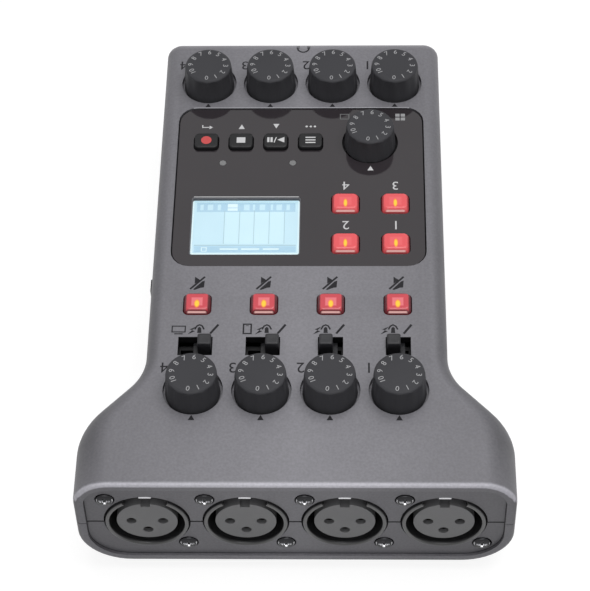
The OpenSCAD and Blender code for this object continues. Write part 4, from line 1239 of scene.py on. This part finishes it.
class RECORDER_OT_microphone_sockets(Operator):
    """Dress the four microphone sockets and repeat their cross-head screws"""

    bl_idname = "recorder.microphone_sockets"
    bl_label = "Microphone sockets"

    def execute(self, context):
        dress("xlr_sockets", "socket_bodies", "socket black", 0.0002, "case", "socket")
        dress("xlr_inserts", "socket_cores", "core grey", 0.0002, "case", "core")
        dress("xlr_latches", "socket_latches", "spring steel", 0.0001, "case", "steel")
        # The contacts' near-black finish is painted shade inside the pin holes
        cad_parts["xlr_contacts"].data.materials[0] = coat("contact bronze")
        places = [(x, 0.0, SOCKET_Z) for x in SOCKET_X]
        lips = repeated("socket_lips", self.lip(), places, coat("socket lip"), 50.0)
        settle(lips, "case", "socket")
        places = [
            (x + side * SOCKET_SCREW_X, SOCKET_SCREW_Y, SOCKET_Z - side * SOCKET_SCREW_Z)
            for x in SOCKET_X
            for side in (-1, 1)
        ]
        screws = repeated("socket_screws", screw("socket_screw", 2.3, 1.5, 7.0, "Y"), places, coat("dark chrome"))
        settle(screws, "case", "black_screw", "xlr_screws")
        return {"FINISHED"}

    def lip(self):
        """Rounded lip of one socket, open at the top where the latch is, with a map of its glint"""
        front, back = NEAR_Y + 0.1, -76.3
        section = [(9.55, back), (9.55, front + 0.22), (9.68, front + 0.06), (9.85, front), (10.25, front),
                   (10.45, front + 0.08), (10.58, front + 0.25), (10.58, back)]
        steps, gap = 72, 33
        rings = []
        for k in range(steps + 1):
            a = math.radians(90 + gap + (360 - 2 * gap) * k / steps)
            rings.append([(r * math.cos(a), y, r * math.sin(a)) for r, y in section])
        lip = Blank()
        lip.stack(rings)
        piece = blank_object("lip", lip, [coat("socket lip")], 50.0)
        # Painted highlight on the lip's front, dimmer toward its bottom
        shine = piece.data.attributes.new("glint", "FLOAT", "POINT")
        for vertex, value in zip(piece.data.vertices, shine.data):
            at = vertex.co / MM
            value.value = 0.25 + 0.75 * rise(at.z, -9.5, -5.0) if at.y < front + 0.15 else 0.0
        return piece


def screw(name, head_r, shank_r, long, axis):
    """Cross-head screw whose domed face looks along -Y or -Z from the origin, with its shank behind"""
    turns, rows, head_h = 64, 22, 1.6

    def dome(r):
        """How far the face falls back at a share of the head's radius"""
        return 0.32 * r * r + (0.0 if r < 0.8 else 0.35 * ((r - 0.8) / 0.2) ** 2)

    def cross(x, y):
        """Depth of the cross at a place on the face"""
        arm = min(max(abs(x), abs(y)) / (head_r * 0.62), 2.0)
        thin = min(abs(x), abs(y)) / (head_r * (0.19 - 0.06 * min(arm, 1.0)))
        inside = 1.0 if thin < 0.75 else max(0.0, (1.15 - thin) / 0.4)
        return 0.75 * inside * (1.0 if arm < 0.8 else max(0.0, (1.0 - arm) / 0.2))

    points, faces = [], []
    for k in range(rows + 1):
        for x, y, _ in circle(head_r * (k / rows) ** 0.85, 0.0, turns):
            points.append((x, y, dome(math.hypot(x, y) / head_r) + cross(x, y)))
    for r, z in ((head_r, head_h), (shank_r, head_h), (shank_r, long - 0.4), (shank_r - 0.4, long), (0.0, long)):
        points += circle(r, z, turns)
    for k in range(len(points) // turns - 1):
        for i in range(turns):
            j = (i + 1) % turns
            faces.append((k * turns + j, k * turns + i, (k + 1) * turns + i, (k + 1) * turns + j))
    if axis == "Y":
        points = [(x, z, y) for x, y, z in points]
    blank = Blank()
    blank.add(points, faces)
    piece = blank_object(name, blank, [coat("dark chrome")])
    # Painted glints: bright on the flanks of the cross and on the lower part of the rim
    glint = piece.data.attributes.new("glint", "FLOAT", "POINT")
    for vertex, value in zip(piece.data.vertices, glint.data):
        x, y, deep = (c / MM for c in (vertex.co.xzy if axis == "Y" else vertex.co))
        r = math.hypot(x, y) / head_r
        flank = 0.12 < deep - dome(r) < 0.6 and 0.2 < r < 0.7
        rim = 0.84 < r < 0.95 and y < 0.3 * head_r and deep < head_h - 0.3
        value.value = 1.0 if flank else 0.5 if rim else 0.0
    return piece


class RECORDER_OT_underside(Operator):
    """Make the rubber feet and the case's screws"""

    bl_idname = "recorder.underside"
    bl_label = "Feet and screws"

    def execute(self, context):
        foot = Blank()
        foot.stack([
            circle(r, z, 48)
            for r, z in ((0.5, 0.12), (3.6, 0.12), (3.75, 0.0), (4.5, 0.0), (4.85, 0.12), (5.0, 0.45), (5.0, 3.1))
        ])
        rubber = coat("foot rubber")
        feet = repeated("feet", blank_object("foot", foot, [rubber]), [(x, y, 0) for x, y in FEET], rubber)
        settle(feet, "case", "rubber", "rubber_feet")
        low = reach("case_screws", 2)[0]
        places = [(x, y, low) for x, y in CASE_SCREWS]
        screws = repeated("underside_screws", screw("case_screw", 2.5, 1.3, 24.0, "Z"), places, coat("dark chrome"))
        settle(screws, "case", "black_screw", "case_screws")
        return {"FINISHED"}


class RECORDER_OT_marks(Operator):
    """Print the plain marks and numbers on the case and on the control panel"""

    bl_idname = "recorder.marks"
    bl_label = "Marks"

    def execute(self, context):
        tall = in_mm(sizes().number_height)
        shapes = []
        for i, x in enumerate(COLUMNS):
            for y in (LEVEL_Y, PHONES_Y):
                shapes.append(laid(glyph(str(i + 1), tall), (x - 7.6, y + 7.05), 180))
            shapes += [pointer(x, -57.9, 0.85, 1.6), pointer(x, 49.8, 0.8, 1.3)]
            shapes += [laid(shape, (x - 0.15, MUTE_Y + 7.2)) for shape in self.muted()]
            shapes += self.sources(i, x)
        for shape in self.phones():
            shapes.append((*laid(shape, (0.25, 72.9)), 0, lambda px, py: TOP_Z - end_drop(py)))
        settle(printed("case_marks", shapes, TOP_Z, [coat("dark ink")]), "case", "shell")
        settle(self.edge_lines(), "case", "panel")
        inks = [coat("pale ink"), coat("soft ink"), coat("dim ink")]
        settle(printed("panel_marks", self.panel(), PANEL_Z, inks), "case", "panel")
        return {"FINISHED"}

    def edge_lines(self):
        """Bright lines where the far edges of the panel's seat and of the display's opening catch the light"""
        low, high = box_mm("control_panel")
        r, inset = 5.0, 0.1
        seat = ring_points(r, 75, 90, 4, (high.x - r, high.y - r + inset))
        seat += ring_points(r, 90, 105, 4, (low.x + r, high.y - r + inset))
        x, y = DISPLAY
        half, edge = DISPLAY_W / 2 - 0.6, y + DISPLAY_D / 2 + 0.05
        opening = [(x - half, edge), (x + half, edge)]
        # Painted highlights: the seat's far edge in edge shine, the opening's far edge in pale ink
        shapes = [(*stroke(seat, 0.24), 0, TOP_Z), (*stroke(opening, 0.2), 1, PANEL_Z)]
        return printed("edge_lines", shapes, PANEL_Z, [coat("edge shine"), coat("pale ink")])

    def muted(self):
        """Loudspeaker with a bar across it"""
        return [
            outline([(-0.85, 2.15), (0.55, 1.05), (-0.85, -0.2)]),
            outline([(-1.2, -2.1), (-0.8, -2.3), (0.8, -1.55), (1.65, -1.45), (1.8, 0.85), (1.1, 0.55)]),
            stroke([(-2.0, -2.0), (1.8, 2.15)], 0.52),
        ]

    def sources(self, channel, x):
        """What each place of a microphone switch stands for"""
        y = MIC_Y + 5.45
        bolt, mic, stick = (-0.95, 0.9, 4.7) if channel > 1 else (-3.4, -1.3, 2.4)
        spark = outline([(1.05, 1.25), (-0.75, 0.3), (0.0, 0.1), (-1.15, -1.3), (0.75, -0.3), (-0.05, 0.0)])
        cradle = stroke([(-1.2, -0.35), (-0.7, 0.75), (0.0, 1.15), (0.7, 0.75), (1.2, -0.35)], 0.42)
        capsule = outline([(-0.55, -1.5), (0.55, -1.5), (0.45, 0.1), (0.0, 0.5), (-0.45, 0.1)])
        wand = outline([(-1.2, -1.4), (-0.7, -1.7), (1.35, 1.2), (0.85, 1.6)])
        head = (x + mic, y + 0.3)
        shapes = [laid(spark, (x + bolt, y - 0.35)), laid(cradle, head), laid(capsule, head)]
        shapes.append(laid(wand, (x + stick, y + 0.15)))
        if channel == 2:
            phone = stroke([(-1.0, -1.5), (1.0, -1.5), (1.0, 1.55), (-1.0, 1.55)], 0.4, True)
            shapes += [laid(phone, (x - 4.15, y + 0.1)), bar(0.7, 0.2, (x - 4.15, y + 1.15))]
        if channel == 3:
            screen = stroke([(-1.7, 0.0), (1.7, 0.0), (1.7, 1.9), (-1.7, 1.9)], 0.32, True)
            shapes += [laid(screen, (x - 4.5, y - 0.9)), bar(2.2, 0.34, (x - 4.5, y - 1.5))]
        return shapes

    def phones(self):
        """Pair of headphones"""
        band = [(-px, -py) for px, py in ring_points(1.6, 0, 180, 16)]
        return [
            stroke(band, 0.46),
            outline([(-1.95, 0.1), (-1.05, 0.1), (-1.05, 1.35), (-1.95, 1.15)]),
            outline([(1.05, 0.1), (1.95, 0.1), (1.95, 1.15), (1.05, 1.35)]),
        ]

    def panel(self):
        """Marks over the transport keys, numbers of the pads and marks beside the pad knob"""
        x, y = KEY_X[2], KEY_Y + 5.2
        shapes = [pointer(KEY_X[1], y, 0.85, 1.7)]
        shapes.append(outline([(x, y + 0.2), (x + 0.85, y + 1.9), (x - 0.85, y + 1.9)]))
        x, y = KEY_X[0], KEY_Y + 6.1
        shapes.append(stroke([(x - 1.3, y + 0.6), (x - 1.3, y - 0.3), (x + 0.7, y - 0.3)], 0.3))
        shapes.append(outline([(x + 0.6, y - 0.95), (x + 1.6, y - 0.3), (x + 0.6, y + 0.35)]))
        shapes += [disc(0.34, (KEY_X[3] + 1.15 * k, y), 16) for k in (-1, 0, 1)]
        tall = in_mm(sizes().pad_number_height)
        for i, (px, py) in enumerate(PADS):
            shapes.append(laid(glyph(str(i + 1), tall), (px + 0.1, py + 6.6), 180))
        shapes.append(pointer(PAD_KNOB[0] + 0.1, 26.3, 0.85, 1.6))
        for dx in (-0.75, 0.75):
            for dy in (-0.72, 0.72):
                shapes.append((*bar(1.2, 1.1, (27.75 + dx, 46.2 + dy)), 1))
        square = stroke([(-1.2, -0.9), (1.2, -0.9), (1.2, 0.9), (-1.2, 0.9)], 0.28, True)
        shapes.append((*laid(square, (12.2, 46.4)), 2))
        return shapes


class RECORDER_OT_inner_parts(Operator):
    """Give every solid that keeps its own shape a finish of its own"""

    bl_idname = "recorder.inner_parts"
    bl_label = "Boards, ports and cells"

    def execute(self, context):
        finishes = {
            "control_board": "board green", "main_board": "board green", "pot_bodies": "pot zinc",
            "slide_switch_bodies": "moulded black", "mini_jacks": "moulded black", "usb_ports": "port steel",
            "card_socket": "port steel", "aa_cells": "cell sleeve", "battery_contacts": "spring steel",
            "board_screws": "port steel", "key_leds": "lamp resin", "lcd_module": "display bezel",
            "pad_shaft": "pot zinc",
        }
        for n in CHANNELS:
            finishes[f"level_shaft_{n}"] = finishes[f"phones_shaft_{n}"] = "pot zinc"
        for node, name in finishes.items():
            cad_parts[node].data.materials[0] = coat(name)
        return {"FINISHED"}


class RECORDER_OT_stage(Operator):
    """Set the camera, the lamps, the pale floor and the white surroundings"""

    bl_idname = "recorder.stage"
    bl_label = "Stage"

    def execute(self, context):
        scene = context.scene
        use = scene.recorder_stage
        scene.view_settings.view_transform = "Standard"
        camera = bpy.data.cameras.new("camera")
        camera.lens = use.lens
        camera.sensor_width = 36.0
        camera.sensor_fit = "HORIZONTAL"
        camera.clip_start = 0.01
        holder = new_object("camera", camera)
        holder.location = use.camera_place
        turn = Matrix.Rotation(use.camera_turn, 3, "Z") @ Matrix.Rotation(use.camera_tilt, 3, "X")
        holder.rotation_euler = (turn @ Matrix.Rotation(use.camera_roll, 3, "Z")).to_euler()
        scene.camera = holder
        overhead, middle = (0.14, 0.05, 0.98), (0.0, 0.0, 0.0)
        self.lamp("top lamp", use.top_lamp, overhead, middle, 0.8, 0.8)
        before, socket_end = (0.0, -0.95, 0.80), (0.0, -0.05, 0.02)
        self.lamp("front lamp", use.front_lamp, before, socket_end, 0.9, 0.25)
        self.floor(use.floor_tone, use.floor_shadow)
        self.surroundings(use.ambient)
        return {"FINISHED"}

    def lamp(self, name, power, place, aim, wide, deep):
        light = bpy.data.lights.new(name, "AREA")
        light.shape = "RECTANGLE"
        light.size, light.size_y = wide, deep
        light.energy = power
        holder = new_object(name, light)
        holder.location = place
        holder.rotation_euler = (Vector(aim) - Vector(place)).to_track_quat("-Z", "Y").to_euler()

    def by_ray(self, tree, unseen, seen, result):
        """End a tree with one shader for what lights the object and one for what is seen, mirrored or seen through"""
        path = add_node(tree, "ShaderNodeLightPath").outputs
        share = calculated(tree, "MAXIMUM", path["Is Camera Ray"], path["Is Glossy Ray"])
        share = calculated(tree, "MAXIMUM", share, path["Is Transmission Ray"])
        blend = add_node(tree, "ShaderNodeMixShader", {"Fac": share, 1: unseen, 2: seen})
        add_node(tree, result, {"Surface": blend.outputs["Shader"]})

    def floor(self, tone, shadow):
        """Plain floor: grey to the object, white with soft shadows to the camera"""
        material = bpy.data.materials.new("floor")
        material.use_nodes = True
        tree = material.node_tree
        tree.nodes.clear()
        matt, pale = (
            add_node(tree, "ShaderNodeBsdfDiffuse", {"Color": (grey, grey, grey, 1.0)}).outputs["BSDF"]
            for grey in (tone, shadow)
        )
        glow = add_node(tree, "ShaderNodeEmission", {"Color": WHITE, "Strength": 0.86}).outputs["Emission"]
        white = add_node(tree, "ShaderNodeAddShader", {0: glow, 1: pale}).outputs["Shader"]
        self.by_ray(tree, matt, white, "ShaderNodeOutputMaterial")
        far = 4.0
        corners = [(-far, -far, 0), (far, -far, 0), (far, far, 0), (-far, far, 0)]
        mesh = bpy.data.meshes.new("floor")
        mesh.from_pydata(corners, [], [(0, 1, 2, 3)])
        mesh.materials.append(material)
        new_object("floor", mesh)

    def surroundings(self, level):
        """White to the camera, and a soft even light to the object"""
        world = bpy.data.worlds.new("studio")
        bpy.context.scene.world = world
        world.use_nodes = True
        tree = world.node_tree
        tree.nodes.clear()
        soft, white = (
            add_node(tree, "ShaderNodeBackground", {"Color": WHITE, "Strength": strength}).outputs["Background"]
            for strength in (level, 1.0)
        )
        self.by_ray(tree, soft, white, "ShaderNodeOutputWorld")


class RECORDER_PT_sidebar(Panel):
    """Lists the recorder's steps, sizes and colours"""

    bl_idname = "RECORDER_PT_sidebar"
    bl_label = "Podcast Recorder"
    bl_space_type = "VIEW_3D"
    bl_region_type = "UI"
    bl_category = "Recorder"

    def draw(self, context):
        for step in STEPS:
            self.layout.operator(step.bl_idname)
        for group in ("recorder_sizes", "recorder_finish", "recorder_stage"):
            values = getattr(context.scene, group)
            box = self.layout.box()
            for name in type(values).__annotations__:
                box.prop(values, name)


STEPS = (
    RECORDER_OT_case,
    RECORDER_OT_control_panel,
    RECORDER_OT_knobs,
    RECORDER_OT_lit_keys,
    RECORDER_OT_transport_keys,
    RECORDER_OT_switches,
    RECORDER_OT_microphone_sockets,
    RECORDER_OT_underside,
    RECORDER_OT_marks,
    RECORDER_OT_inner_parts,
    RECORDER_OT_stage,
)
CLASSES = (RecorderSizes, RecorderFinish, RecorderStage, *STEPS, RECORDER_PT_sidebar)


def register():
    for cls in CLASSES:
        bpy.utils.register_class(cls)
    bpy.types.Scene.recorder_sizes = PointerProperty(type=RecorderSizes)
    bpy.types.Scene.recorder_finish = PointerProperty(type=RecorderFinish)
    bpy.types.Scene.recorder_stage = PointerProperty(type=RecorderStage)


def unregister():
    del bpy.types.Scene.recorder_stage
    del bpy.types.Scene.recorder_finish
    del bpy.types.Scene.recorder_sizes
    for cls in reversed(CLASSES):
        bpy.utils.unregister_class(cls)


def main():
    register()
    bpy.ops.recorder.case()
    bpy.ops.recorder.control_panel()
    bpy.ops.recorder.knobs()
    bpy.ops.recorder.lit_keys()
    bpy.ops.recorder.transport_keys()
    bpy.ops.recorder.switches()
    bpy.ops.recorder.microphone_sockets()
    bpy.ops.recorder.underside()
    bpy.ops.recorder.marks()
    bpy.ops.recorder.inner_parts()
    bpy.ops.recorder.stage()


if __name__ == "__main__":
    main()
